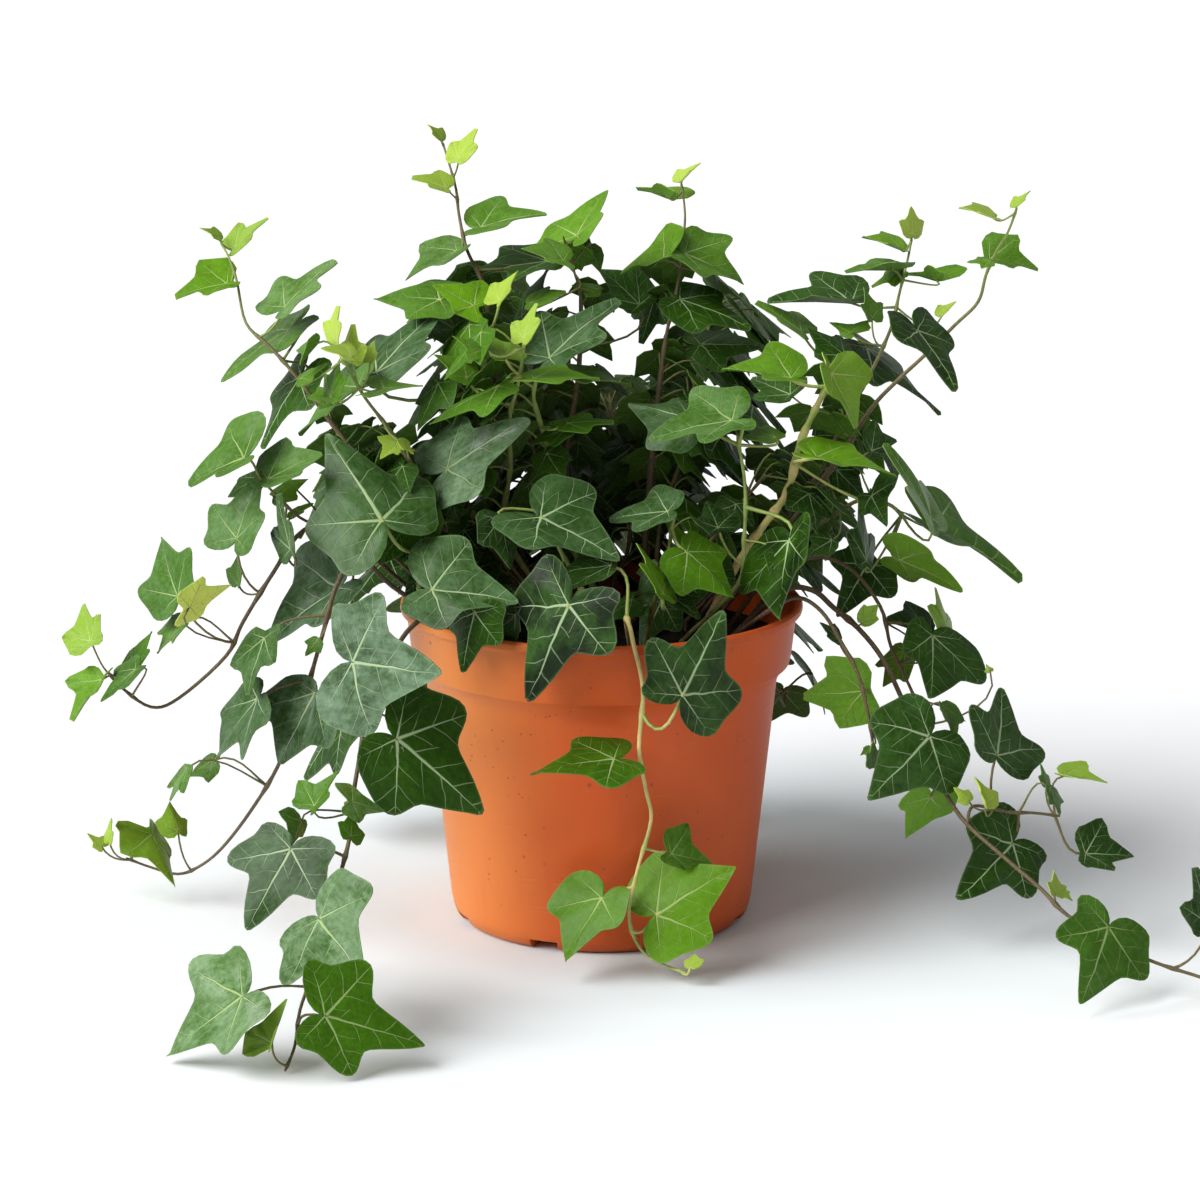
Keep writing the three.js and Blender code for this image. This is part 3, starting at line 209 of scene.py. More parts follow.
class Finish:
    def __init__(self, name, constants):
        self.material = bpy.data.materials.new(name)
        self.material.use_nodes = True
        self.tree = self.material.node_tree
        self.tree.nodes.clear()
        self.shader = self.node("ShaderNodeBsdfPrincipled", {}, constants)
        self.node("ShaderNodeOutputMaterial", {}, {"Surface": Signal(self, self.shader.outputs["BSDF"])})

    # any node: its settings first, then the values or links of its sockets
    def node(self, kind, settings, values):
        made = self.tree.nodes.new(kind)
        for key, value in settings.items():
            if key == "stops":
                self.setStops(made.color_ramp, value)
            else:
                setattr(made, key, value)
        for key, value in values.items():
            self.feed(made, key, value)
        return made

    def feed(self, node, key, value):
        if isinstance(value, Signal):
            self.tree.links.new(value.socket, node.inputs[key])
        else:
            node.inputs[key].default_value = value

    def setStops(self, ramp, stops):
        while len(ramp.elements) < len(stops):
            ramp.elements.new(1)
        for element, (place, colour) in zip(ramp.elements, stops):
            element.position = place
            element.color = colour

    # what a new node gives out
    def take(self, kind, settings, values, key=0):
        return Signal(self, self.node(kind, settings, values).outputs[key])

    def math(self, operation, *values):
        return self.take("ShaderNodeMath", {"operation": operation}, dict(enumerate(values)))

    def vector(self, operation, one, two):
        return self.take("ShaderNodeVectorMath", {"operation": operation}, {0: one, 1: two})

    def blend(self, factor, one, two):
        return self.take("ShaderNodeMix", {"data_type": "RGBA"}, {0: factor, 6: one, 7: two}, 2)

    def ramp(self, factor, stops):
        return self.take("ShaderNodeValToRGB", {"stops": stops}, {"Fac": factor}, "Color")

    # 0 at low and 1 at high, smooth between; low may be the larger
    def fade(self, value, low, high):
        values = {"Value": value, "From Min": low, "From Max": high}
        return self.take("ShaderNodeMapRange", {"interpolation_type": "SMOOTHSTEP"}, values)

    def noise(self, place, scale, detail=2.0, roughness=0.5):
        values = {"Vector": place, "Scale": scale, "Detail": detail, "Roughness": roughness}
        return self.take("ShaderNodeTexNoise", {}, values)

    # noise drawn out along one or two directions
    def drawnNoise(self, place, stretch, scale, detail, roughness=0.5):
        return self.noise(self.vector("MULTIPLY", place, stretch), scale, detail, roughness)

    def cells(self, place, scale, feature="F1"):
        values = {"Vector": place, "Scale": scale}
        return self.take("ShaderNodeTexVoronoi", {"feature": feature}, values, "Distance")

    def objectPlace(self):
        return self.take("ShaderNodeTexCoord", {}, {}, "Object")

    def attribute(self, name):
        return self.take("ShaderNodeAttribute", {"attribute_name": name}, {}, "Fac")

    def trio(self, x, y, z):
        return self.take("ShaderNodeCombineXYZ", {}, {0: x, 1: y, 2: z})

    def split(self, place):
        made = self.node("ShaderNodeSeparateXYZ", {}, {0: place})
        return [Signal(self, socket) for socket in made.outputs]

    # colour, roughness and a bump of the given depth in metres
    def surface(self, colour, roughness, height, depth):
        values = {"Height": height, "Distance": depth, "Strength": 1.0}
        bump = self.take("ShaderNodeBump", {}, values, "Normal")
        for key, value in {"Base Color": colour, "Roughness": roughness, "Normal": bump}.items():
            self.feed(self.shader, key, value)
        return self.material


# the leaf map: a runs from the petiole to the tip, b across, in midrib lengths
leafMap = {"span": 1.6, "back": 0.5, "side": 0.8}

leafLook = {
    "veins": [(0, 1.0, 0.026, 26, 4.4), (52, 0.78, 0.022, 26, 5.2), (108, 0.5, 0.018, 34, 6.4)],
    "slant": 1.15, "bend": 0.9, "ribWidth": 0.05, "ribStart": 0.07, "ribDrift": 0.8, "ribReach": 0.34,
    "ribLight": 0.54, "ribBreaks": (0.26, 0.46), "wobble": 0.06, "wobbleScale": 4.0, "netScale": 15.0,
    "halo": 0.1,
    "fresh": [(0.0, paint(44, 80, 10)), (0.3, paint(56, 100, 12)), (0.48, paint(74, 120, 16)),
              (0.72, paint(104, 154, 20)), (1.0, paint(160, 184, 70))],
    # grey: the colour of the painted sheen on the blade; undersides take a little of it at random
    "grey": [(0.0, paint(112, 138, 112)), (0.4, paint(132, 160, 118)), (1.0, paint(166, 188, 118))],
    "vein": [(0.0, paint(162, 184, 140)), (0.45, paint(160, 188, 112)), (1.0, paint(202, 218, 136))],
    # undersides: their own paler green, the youngest painted brighter still as painted light shining
    # through them
    "under": [(0.0, paint(74, 104, 28)), (0.5, paint(78, 122, 22)), (0.75, paint(104, 156, 26)),
              (0.95, paint(212, 230, 104))],
    "shade": paint(16, 30, 8), "dry": paint(92, 78, 34), "rim": 0.14, "rimFrom": 0.955,
    "roughness": 0.3, "underRoughness": 0.5, "coat": (0.03, 0.5), "depth": 0.0008,
}


def leafFinish(name, under):
    look = leafLook
    f = Finish(name, {"Specular IOR Level": 0.1, "Coat Roughness": 0.24})
    place = f.take("ShaderNodeUVMap", {"uv_map": "leafShape"}, {}, "UV")
    age, tone, paintedSheen = f.attribute("leafAge"), f.attribute("leafTone"), f.attribute("leafBloom")
    rim = f.fade(f.attribute("leafEdge"), look["rimFrom"], 1.0) * look["rim"]
    own = f.vector("ADD", place, f.trio(tone * 9, tone * 5, tone * 3))
    x, y, _ = f.split(place)
    drift = (f.noise(own, look["wobbleScale"]) - 0.5) * look["wobble"]
    a = x * leafMap["span"] - leafMap["back"] + drift
    b = abs(y * leafMap["span"] - leafMap["side"] + drift)
    side = y > leafMap["side"] / leafMap["span"]
    sway = (f.noise(own, 3.1) - 0.5) * look["ribDrift"] + tone * 5
    broken = f.fade(f.noise(own, 6.0), *look["ribBreaks"])
    layers = []
    for angle, reach, width, region, count in look["veins"]:
        c, s = math.cos(math.radians(angle)), math.sin(math.radians(angle))
        along = a * c + b * s
        across = abs(b * c - a * s)
        half = (1 - along / reach).math("MAXIMUM", 0.25) * width
        ahead = f.fade(along, reach, reach * 0.75) * (along > 0)
        steps = along - across * look["slant"] + across * across * look["bend"]
        steps = steps * count + side * 0.45 + sway
        wide = (1.2 - across * 2.6).math("MAXIMUM", 0.3) * look["ribWidth"]
        rib = f.fade(abs(steps.math("FRACT") - 0.5), wide, wide * 0.2)
        inside = (across < along * math.tan(math.radians(region))) * (along > look["ribStart"])
        rib = rib * inside * f.fade(across, look["ribReach"], look["ribReach"] * 0.35)
        line = f.fade(across, half, half * 0.35) * ahead
        layers.append((line, rib, f.fade(across, look["halo"], 0.0) * ahead))
    veins, ribs, halo = (functools.reduce(lambda one, two: one.math("MAXIMUM", two), layer)
                         for layer in zip(*layers))
    bent = f.vector("ADD", own, f.trio(drift, drift * 2, 0.0))
    net = f.fade(f.cells(bent, look["netScale"], "DISTANCE_TO_EDGE"), 0.09, 0.0)
    pattern = veins.math("MAXIMUM", ribs * broken * look["ribLight"])
    cloud = f.noise(own, 3.2, 4.0, 0.6)
    mottle = f.noise(own, 26, 4.0, 0.65)
    if under:
        colour = f.blend(cloud * 0.1, f.ramp(age, look["under"]), f.ramp(age, look["grey"]))
        # painted shade: older undersides darkened toward the shade colour by their tone
        colour = f.blend(tone * (1 - age) * 0.42, colour, look["shade"])
        lines = (pattern * 0.6 + net * 0.1).math("MAXIMUM", rim)
        colour = f.blend(lines, colour, f.ramp(age, look["vein"]))
        f.feed(f.shader, "Coat Weight", 0.0)
        height = (pattern + mottle * 0.1) * (1 - age * 0.7)
        return f.surface(colour, look["underRoughness"] + mottle * 0.15, height, look["depth"])
    streaks = f.drawnNoise(own, (5, 14, 1), 1.6, 3.0, 0.6)  # run out from the petiole
    # painted sheen: a mottled pattern where the blade is painted pale grey, standing in for the key light's
    # soft reflection
    paintedLight = f.fade(cloud, 0.38, 0.64) * 0.5 + f.fade(streaks, 0.4, 0.66) * 0.34
    paintedLight = paintedLight + f.fade(mottle, 0.4, 0.7) * 0.2
    patch = paintedSheen * (paintedLight + 0.05 + halo * f.fade(mottle, 0.4, 0.62) * 0.3 + net * 0.1)
    dark = f.fade(mottle, 0.62, 0.36) * (0.4 - age * 0.38)
    colour = f.blend(dark, f.ramp(age, look["fresh"]), look["shade"])
    # painted shade: old leaves darkened toward the shade colour by their tone, more in the crown
    colour = f.blend(tone * (1 - age) * f.fade(cloud, 0.7, 0.3) * 0.8, colour, look["shade"])
    colour = f.blend(patch.math("MINIMUM", 1.0), colour, f.ramp(age, look["grey"]))
    colour = f.blend(f.fade(f.cells(own, 9.0), 0.05, 0.02) * 0.5, colour, look["dry"])
    lines = (pattern * (0.86 - age * 0.4)).math("MAXIMUM", rim)
    colour = f.blend(lines, colour, f.ramp(age, look["vein"]))
    # the coat's real gloss is heavier where the sheen is painted
    f.feed(f.shader, "Coat Weight", paintedSheen * look["coat"][1] + look["coat"][0])
    roughness = look["roughness"] + cloud * 0.12 + pattern * 0.08 + mottle * 0.1
    height = 0.4 - pattern * 0.6 - net * 0.05 + mottle * 0.2 + cloud * 0.7
    height = height * (1 - age * 0.8)  # young leaves are smoother
    return f.surface(colour, roughness, height, look["depth"])


stemLook = {
    "skin": [(0.0, paint(88, 70, 54)), (0.35, paint(108, 98, 60)), (0.62, paint(128, 146, 74)),
             (0.82, paint(156, 174, 92)), (1.0, paint(226, 200, 132))],
    "bark": paint(70, 52, 36), "specks": paint(168, 156, 112), "roughness": 0.52, "depth": 0.00025,
}


def stemFinish():
    f = Finish("ivyStem", {"Specular IOR Level": 0.4})
    place, age = f.objectPlace(), f.attribute("stemAge")
    grain = f.noise(place, 900, 4.0, 0.65)
    specks = f.fade(f.cells(place, 700), 0.28, 0.12)
    colour = f.ramp(age + (f.noise(place, 160, 3.0) - 0.5) * 0.5, stemLook["skin"])
    bark = f.fade(grain, 0.35, 0.75) * (0.66 - age * 0.9).math("MAXIMUM", 0.1)  # least on the green ends
    colour = f.blend(bark, colour, stemLook["bark"])
    colour = f.blend(specks * 0.3, colour, stemLook["specks"])
    roughness = stemLook["roughness"] + grain * 0.15
    return f.surface(colour, roughness, grain + specks * 0.5, stemLook["depth"])


potLook = {
    "clay": paint(203, 83, 28), "deep": paint(184, 68, 24), "pale": paint(214, 96, 35),
    # painted light: the clay painted paler on the side the key light comes from, over the span of x given
    # next
    "paintedLight": paint(238, 148, 72), "dirt": paint(74, 50, 34), "dust": paint(212, 140, 92),
    "litSideSpan": (0.0, -0.055), "rim": (0.088, 0.099), "foot": (0.007, 0.0),
    # specks, dots and pits: how fine, their edge, how large their patches are and how many
    "marks": [(150, (0.13, 0.05), 30, (0.5, 0.62)), (330, (0.16, 0.06), 55, (0.5, 0.6)),
              (48, (0.10, 0.04), 18, (0.55, 0.65))],
    "roughness": 0.4, "depth": 0.00025,
}


def potFinish():
    look = potLook
    f = Finish("potPlastic", {"Specular IOR Level": 0.28})
    place = f.objectPlace()
    x, _, z = f.split(place)
    cloud = f.noise(place, 22, 3.0, 0.55)
    fine = f.noise(place, 420, 3.0)
    flow = f.drawnNoise(place, (150, 150, 9), 1.0, 3.0, 0.6)  # marks run down the wall
    scratch = f.fade(f.drawnNoise(place, (60, 60, 900), 1.0, 2.0), 0.66, 0.74)
    specks, dots, pits = (f.fade(f.cells(place, grain), *edge) * f.fade(f.noise(place, area), *patches)
                          for grain, edge, area, patches in look["marks"])
    rim = f.fade(z, *look["rim"]) * f.fade(cloud, 0.4, 0.62)
    foot = f.fade(z, *look["foot"]) * 0.45
    colour = f.blend(f.fade(cloud, 0.35, 0.7) * 0.5, look["clay"], look["pale"])
    colour = f.blend(f.fade(x, *look["litSideSpan"]) * 0.8, colour, look["paintedLight"])  # painted light: paler on the side the key light comes from
    colour = f.blend(f.fade(flow, 0.5, 0.8) * 0.12, colour, look["deep"])
    colour = f.blend(scratch * 0.2, colour, look["dust"])
    colour = f.blend((rim * 0.35 + foot) * flow, colour, look["dirt"])
    colour = f.blend((specks + dots * 0.8).math("MINIMUM", 1.0) * 0.7, colour, look["dirt"])
    roughness = look["roughness"] + cloud * 0.12 + scratch * 0.15 + fine * 0.06
    height = fine * 0.1 + flow * 0.12 - scratch * 0.25 - pits * 0.8 + specks * 0.5 + cloud * 0.4
    return f.surface(colour, roughness, height, look["depth"])


soilLook = {
    "wet": paint(14, 10, 8), "peat": paint(44, 32, 23), "crumb": paint(70, 52, 36),
    "straw": paint(128, 100, 68), "roughness": 0.8, "depth": 0.0016,
}


def soilFinish():
    f = Finish("pottingSoil", {"Specular IOR Level": 0.25})
    place = f.objectPlace()
    clods = f.noise(place, 120, 5.0, 0.7)
    grain = f.noise(place, 650, 3.0, 0.6)
    straws = f.fade(f.drawnNoise(place, (900, 120, 300), 1.0, 2.0), 0.66, 0.74)
    pebbles = f.fade(f.cells(place, 210), 0.2, 0.08)
    colour = f.blend(f.fade(clods, 0.35, 0.7), soilLook["wet"], soilLook["peat"])
    colour = f.blend(f.fade(grain, 0.5, 0.8) * 0.5, colour, soilLook["crumb"])
    colour = f.blend(straws * 0.6 + pebbles * 0.3, colour, soilLook["straw"])
    height = clods + grain * 0.4 + pebbles * 0.2
    return f.surface(colour, soilLook["roughness"] + grain * 0.15, height, soilLook["depth"])


ivyFinishes = [leafFinish("ivyBlade", False), leafFinish("ivyUnderside", True), stemFinish()]
stemSlot = 2
print("finishes made")

# the leaf, modelled once for each kind and copied
# outline: degrees from the midrib and reach in midrib lengths, one half; from: the least size in mm
leafKinds = {
    "broad": {
        "outline": [
            (0, 1.0), (1.7, 0.985), (6, 0.9), (12, 0.8), (19, 0.71), (26, 0.645), (32, 0.615), (38, 0.63),
            (44, 0.675), (48.5, 0.715), (52.5, 0.738), (57, 0.735), (62, 0.705), (68, 0.655), (75, 0.61),
            (83, 0.58), (92, 0.575), (101, 0.58), (110, 0.562), (120, 0.51), (131, 0.435), (143, 0.345),
            (156, 0.24), (169, 0.13), (180, 0.045),
        ],
        "rings": (0.74, 0.42), "from": 19,
    },
    "plain": {
        "outline": [
            (0, 1.0), (2.6, 0.97), (10, 0.83), (19, 0.7), (28, 0.625), (36, 0.63), (44, 0.685), (50, 0.735),
            (56, 0.735), (64, 0.67), (75, 0.59), (88, 0.565), (101, 0.56), (115, 0.5), (130, 0.4),
            (147, 0.28), (164, 0.155), (180, 0.045),
        ],
        "rings": (0.62,), "from": 10,
    },
    "young": {
        "outline": [
            (0, 1.0), (6, 0.88), (18, 0.7), (32, 0.62), (44, 0.67), (54, 0.7), (72, 0.55), (94, 0.48),
            (118, 0.38), (144, 0.24), (180, 0.06),
        ],
        "rings": (0.55,), "from": 0,
    },
    "inner": {
        "outline": [
            (0, 1.0), (14, 0.76), (32, 0.61), (52, 0.73), (74, 0.58), (98, 0.55), (124, 0.45), (152, 0.24),
            (180, 0.05),
        ],
        "rings": (), "from": 0,
    },
}
leafSettings = {"thick": 0.2, "rimAngle": 40}


def modelLeaf(kind):
    plan = leafKinds[kind]
    half = plan["outline"]
    spokes = half + [(-angle, reach) for angle, reach in reversed(half[1:-1])]
    count = len(spokes)
    pickOnly()
    bpy.ops.mesh.primitive_circle_add(vertices=count, radius=1, fill_type="NOTHING")
    leaf = bpy.context.active_object
    leaf.name = "leafShape_" + kind
    giveFinishes(leaf, ivyFinishes)
    bpy.ops.object.mode_set(mode="EDIT")
    bpy.ops.mesh.select_all(action="SELECT")
    last = 1
    for ring in plan["rings"]:
        drawOut(bpy.ops.mesh.extrude_region_move)
        bpy.ops.transform.resize(value=(ring / last, ring / last, 1))
        last = ring
    drawOut(bpy.ops.mesh.extrude_region_move)
    bpy.ops.mesh.merge(type="CENTER")
    closeEdit()
    if leaf.data.polygons[0].normal.z < 0:
        bpy.ops.object.mode_set(mode="EDIT")
        bpy.ops.mesh.flip_normals()
        bpy.ops.object.mode_set(mode="OBJECT")
    points = corners(leaf.data)
    turns = np.round(np.arctan2(points[:, 1], points[:, 0]) / (2 * math.pi / count)).astype(int) % count
    angles, reach = np.array(spokes)[turns].T
    angles, reach = np.radians(angles), reach * np.hypot(points[:, 0], points[:, 1])
    flat = np.stack([reach * np.cos(angles), reach * np.sin(angles), 0 * reach], axis=1)
    setCorners(leaf.data, flat)
    at = np.array([flat[loop.vertex_index] for loop in leaf.data.loops])
    place = (at[:, :2] + (leafMap["back"], leafMap["side"])) / leafMap["span"]
    leaf.data.uv_layers.new(name="leafShape").data.foreach_set("uv", place.ravel())
    blade = {"thickness": leafSettings["thick"], "offset": 0, "material_offset": 1}
    applyModifier(leaf, "SOLIDIFY", blade)
    shadeSmooth(leaf, leafSettings["rimAngle"])  # the rim stays sharp
    leaf.hide_render = True
    return {"piece": leaf, "points": corners(leaf.data)}


leafShapes = {kind: modelLeaf(kind) for kind in leafKinds}
print("leaf shapes modelled")


# the CAD source has these rules too: a leaf has to come out here as it stands in its solid
leafRules = {
    "lobeAngle": math.radians(52), "lobeReach": 0.74, "cupRise": 0.06, "cupFall": 0.1, "cup": 0.5,
}
seenRules = {"axis": 602, "side": 400, "outward": 0.5, "tilt": 0.12, "flat": 0.6, "fold": (0.04, 0.1)}
ruledRules = {
    "next": 977, "turn": (34, 26), "turnMore": 5, "reach": (8, 12), "rise": (0.1, 0.7), "sinkFrom": 6,
    "sink": 0.5, "length": (18, 12), "shorter": 0.012, "out": 0.8, "face": (0.4, 0.7), "twist": 0.7,
    "ahead": 0.4, "hang": (-0.8, 0.6), "lobe": 0.72, "fold": -0.12,
}
lobeAhead = math.cos(leafRules["lobeAngle"]) * leafRules["lobeReach"]
lobeAcross = math.sin(leafRules["lobeAngle"]) * leafRules["lobeReach"]


def finishLeaf(base, mid, right, left, cup):
    leaf = {"base": base, "mid": mid, "right": right, "left": left, "cup": cup, "size": size(mid)}
    leaf["rightNormal"] = unit(np.cross(right, mid))
    leaf["leftNormal"] = unit(np.cross(mid, left))
    leaf["normal"] = unit(leaf["rightNormal"] + leaf["leftNormal"])
    lift = leaf["size"] * cup * (leafRules["cupRise"] - leafRules["cupFall"])
    leaf["tip"] = base + mid + leaf["rightNormal"] * lift
    return leaf


# a leaf as it is seen: base, tip and lobes at their u and v
def seenLeaf(row, near, seed):
    rules = seenRules
    baseU, baseV, tipU, tipV, _, tilt, age, *lobes = row
    scale = viewFocal / (viewDistance - near)
    below = -1 if age == "u" else 1

    def flat(u, v):
        return ((u - baseU) / scale, (baseV - v) / scale)

    mid = flat(tipU, tipV)

    def turn(u, v):
        x, y = flat(u, v)
        return mid[0] * y - mid[1] * x

    one, two = lobes[:2], lobes[2:]
    left, right = (one, two) if (turn(*one) > turn(*two)) == (below > 0) else (two, one)
    across = [(a - b) / (2 * lobeAcross) for a, b in zip(flat(*left), flat(*right))]
    # the leaf's own two directions as seen, and the one seen shortened
    mids = mid[0] ** 2 + mid[1] ** 2
    mixed = mid[0] * across[0] + mid[1] * across[1]
    wides = across[0] ** 2 + across[1] ** 2
    middle = (mids + wides) / 2
    spread = math.sqrt(((mids - wides) / 2) ** 2 + mixed ** 2)
    short = math.atan2(middle - spread - mids, mixed)
    if abs(mixed) < 1e-6:
        turned = (0, 1) if mids > wides else (1, 0)
    else:
        turned = (math.cos(short), math.sin(short))
    deep = math.sqrt(2 * spread)
    length = math.sqrt(middle + spread)
    outward = max(-1, min(1, (baseU - rules["axis"]) / rules["side"]))
    stand = [-p[1] - rules["outward"] * outward * p[0] for p in (mid, across)]
    toward = stand[0] * turned[0] + stand[1] * turned[1] + 1e-9
    way = (1 if toward > 0 else -1) * below
    extra = 0.5 * (tilt + rules["tilt"]) * below if deep < rules["flat"] * length else 0

    def depth(x, y):
        return way * deep * (turned[0] * x + turned[1] * y) + extra * (stand[0] * x + stand[1] * y)

    draw = draws(seed)
    fold = (rules["fold"][0] + rules["fold"][1] * draw()) * length * below
    base = seen(baseU, baseV, near)
    return finishLeaf(
        base,
        seen(tipU, tipV, near + depth(1, 0)) - base,
        seen(*right, near + depth(lobeAhead, -lobeAcross) - fold) - base,
        seen(*left, near + depth(lobeAhead, lobeAcross) - fold) - base,
        leafRules["cup"] + draw(),
    )


# a leaf by rule at a point of a stem, alternating from side to side
def ruledLeaf(at, index, seed, attempt):
    rules = ruledRules
    draw = draws(seed + rules["next"] * attempt)

    def drawn(key):
        return rules[key][0] + rules[key][1] * draw()

    out = unit(np.array([at[0], at[1], 0.001]))
    wide = drawn("turn") + rules["turnMore"] * attempt * (draw() - 0.5)
    turn = (1 if index % 2 else -1) * wide * (math.pi / 180)
    away = np.array([
        out[0] * math.cos(turn) - out[1] * math.sin(turn),
        out[0] * math.sin(turn) + out[1] * math.cos(turn),
        0,
    ])
    reach = drawn("reach")
    rise = drawn("rise") - rules["sink"] * (draw() if attempt > rules["sinkFrom"] else 0)
    base = at + unit(np.array([away[0], away[1], rise])) * reach
    length = drawn("length") * (1 - rules["shorter"] * attempt)
    face = unit(np.array([away[0] * rules["out"], away[1] * rules["out"], drawn("face")]))
    twist = rules["twist"] * (draw() - 0.5)
    side = unit(np.cross(np.array([0, 0, 1.0]), away))
    mid = away * rules["ahead"] + np.array([0, 0, drawn("hang")]) + side * twist
    mid = unit(mid - face * float(mid @ face)) * length
    across = unit(np.cross(mid, face)) * (math.sin(leafRules["lobeAngle"]) * rules["lobe"] * length)
    forward = mid * (math.cos(leafRules["lobeAngle"]) * rules["lobe"]) + face * (rules["fold"] * length)
    return finishLeaf(base, mid, forward + across, forward - across, leafRules["cup"] + draw())


# folds, cup, quilting between the veins and a wavy edge
leafRelief = {
    "half": 0.24, "thin": 0.45, "blend": 0.16, "quilt": 0.032, "wave": 0.036, "waves": (3, 4),
    "vary": 0.1, "notch": 0.05, "shrink": 0.34, "shrinkFrom": (66, 116), "veins": (0, 52, 112, 180),
}


# a copy of a leaf shape, bent to its place
def layLeaf(name, leaf, kind, seed):
    relief = leafRelief
    a, b, side = leafShapes[kind]["points"].T
    draw = draws(seed)
    left = b > 0
    angle = np.degrees(np.arctan2(np.abs(b), a))
    rise = np.sin(np.pi * np.interp(angle, relief["veins"], range(4))) ** 2
    part = np.hypot(a, b) / np.interp(angle, *np.array(leafKinds[kind]["outline"]).T)
    vary = 1 + rise * (relief["vary"] * np.where(left, 2 * draw() - 1, 2 * draw() - 1) - relief["notch"])
    shrink = relief["shrink"] * np.where(left, draw(), draw())  # of the lobes beside the petiole
    vary = vary - shrink * np.interp(angle, relief["shrinkFrom"], (0, 1))
    a, b = a * vary, b * vary
    reach = np.hypot(a, b)
    out = np.abs(b) / lobeAcross
    along = a - out * lobeAhead
    weight = np.clip(0.5 + b / relief["blend"], 0, 1)[:, None]
    normal = leaf["leftNormal"] * weight + leaf["rightNormal"] * (1 - weight)
    normal = normal / np.linalg.norm(normal, axis=1)[:, None]
    lift = leaf["cup"] * (leafRules["cupRise"] * reach - leafRules["cupFall"] * reach ** 2)
    lift = lift + relief["quilt"] * (0.5 + draw()) * rise * part * (1.25 - part)
    turns, phase = relief["waves"][0] + relief["waves"][1] * draw(), 6.28 * draw()
    ripple = np.sin(np.radians(angle) * turns + phase) * np.sign(b)
    lift = lift + relief["wave"] * part ** 2 * reach * ripple
    half = relief["half"] * np.sign(side) * (1 - relief["thin"] * part ** 4)
    points = leaf["base"] + leaf["mid"] * along[:, None] + normal * (lift * leaf["size"] + half)[:, None]
    points = points + np.where(left[:, None], leaf["left"], leaf["right"]) * out[:, None]
    copy = addObject(name, leafShapes[kind]["piece"].data.copy())
    setCorners(copy.data, points * mm)
    setAttribute(copy.data, "leafEdge", part)
    return copy


# one value for all vertices, or one for each
def setAttribute(mesh, name, value):
    layer = mesh.attributes.get(name) or mesh.attributes.new(name, "FLOAT", "POINT")
    layer.data.foreach_set("value", np.full(len(mesh.vertices), value))


# a smooth curve through points, each span cut in parts
def smooth(points, parts):
    points = [np.array(p, dtype=float) for p in points]
    first = points[0] + (points[0] - points[1]) * 0.6
    last = points[-1] + (points[-1] - points[-2])
    full = [first, *points, last]
    out = []
    for i in range(1, len(full) - 2):
        a, b, c, d = full[i - 1:i + 3]
        for j in range(parts):
            t = j / parts
            bend = 2 * a - 5 * b + 4 * c - d + t * (3 * (b - c) + d - a)
            out.append(b + 0.5 * t * (c - a + t * bend))
    out.append(points[-1])
    return out


# the letter of a leaf's age: old, middling, young, or its underside seen
ages = {"o": 0.0, "m": 0.42, "y": 0.85, "u": 0.7}
youngAges = ((10, 17), (0.95, 0.62))  # young leaves by their size in mm
soilTop, holeDepth = 87, 5.5
stemRules = {
    "foot": 0.8, "collar": 2.5, "bow": 1.5, "sway": 8, "behind": 14, "between": 0.5, "atEnd": 0.85,
    "firstLeaf": 2.5, "spare": 3.6, "thick": (1.15, 0.6), "hangsBelow": 90, "rimReach": 68,
}
plans = []


# rows of numbers, and of an age's letter, parted by commas
def table(lines):
    rows = ",".join(lines).split(",")
    return [[word if word in ages else float(word) for word in row.split()] for row in rows]


# a stem as it is seen: its lean to the camera, root in the soil, and thickness there and at its end.
# route and branch: u, v, near; leaves: base u, v, tip u, v, push, tilt, age, then u, v of the two lobes
def layStem(name, lean, root, thick, route, leaves, branch=None):
    plan = {"name": name, "lean": lean, "root": root, "thick": thick}
    plans.append({**plan, "route": table(route), "leaves": table(leaves)})
    if branch:
        plans[-1]["branch"] = table(branch)


layStem("stem_trail_front", 0, (9, -38), (1.15, 0.6), [
    "626 619 50, 630 628 58, 633 642 62.6, 643 690 62.6, 639 748 62.2, 646 790 62.4, 651 820 63",
    "638 868 63, 629 915 62.5, 640 948 63, 662 964 66, 686 973 73",
], [
    "682 695 725 611 8 0.1 o 652 637 743 690",
    "613 760 530 771 3 0.3 m 572 741 606 785",
    "671 854 714 864 -1 0.2 o 690 825 688 870",
    "657 914 735 866 6 0.3 y 665 851 713 938",
    "602 899 564 961 3 0.1 m 546 909 617 928",
    "690 967 694 953 2 0.2 y 684 960 705 959",
    "611 566 553 573 -16 0.2 o 578 551 568 588",
])
layStem("stem_crown_left", 0, (-33, -23), (1.2, 0.8), [
    "428 604 36, 418 578 36, 414 545 30",
], [
    "383 521 325 432 8 0.25 o 305 526 421 475",
    "447 470 527 417 6 0.3 o 463 414 484 490",
    "432 590 518 600 14 0.4 o 470 541 447 627",
    "475 612 461 673 16 0.1 o 447 628 500 645",
])
layStem("stem_crown_front", 0, (1, -28), (1.2, 0.8), [
    "590 610 36, 573 575 38, 556 540 36, 548 505 32",
], [
    "569 605 526 702 26 0.02 o 513 607 608 655",
    "541 518 620 558 8 0.4 o 597 490 533 551",
    "516 615 515 648 18 0 o 496 632 521 632",
    "500 520 512 570 6 0.3 o 480 545 530 550",
])
layStem("stem_crown_mid_front", 0, (13, -22), (1.2, 0.8), [
    "655 600 30, 668 555 32, 672 522 32",
], [
    "668 512 608 518 4 0.4 o 652 488 632 530",
    "662 594 638 541 4 0.1 y 640 562 667 572",
    "684 555 664 514 0 0.1 m 667 528 691 535",
    "686 552 736 597 6 0.2 m 727 553 683 596",
    "664 592 701 618 10 0.2 o 703 597 678 611",
])
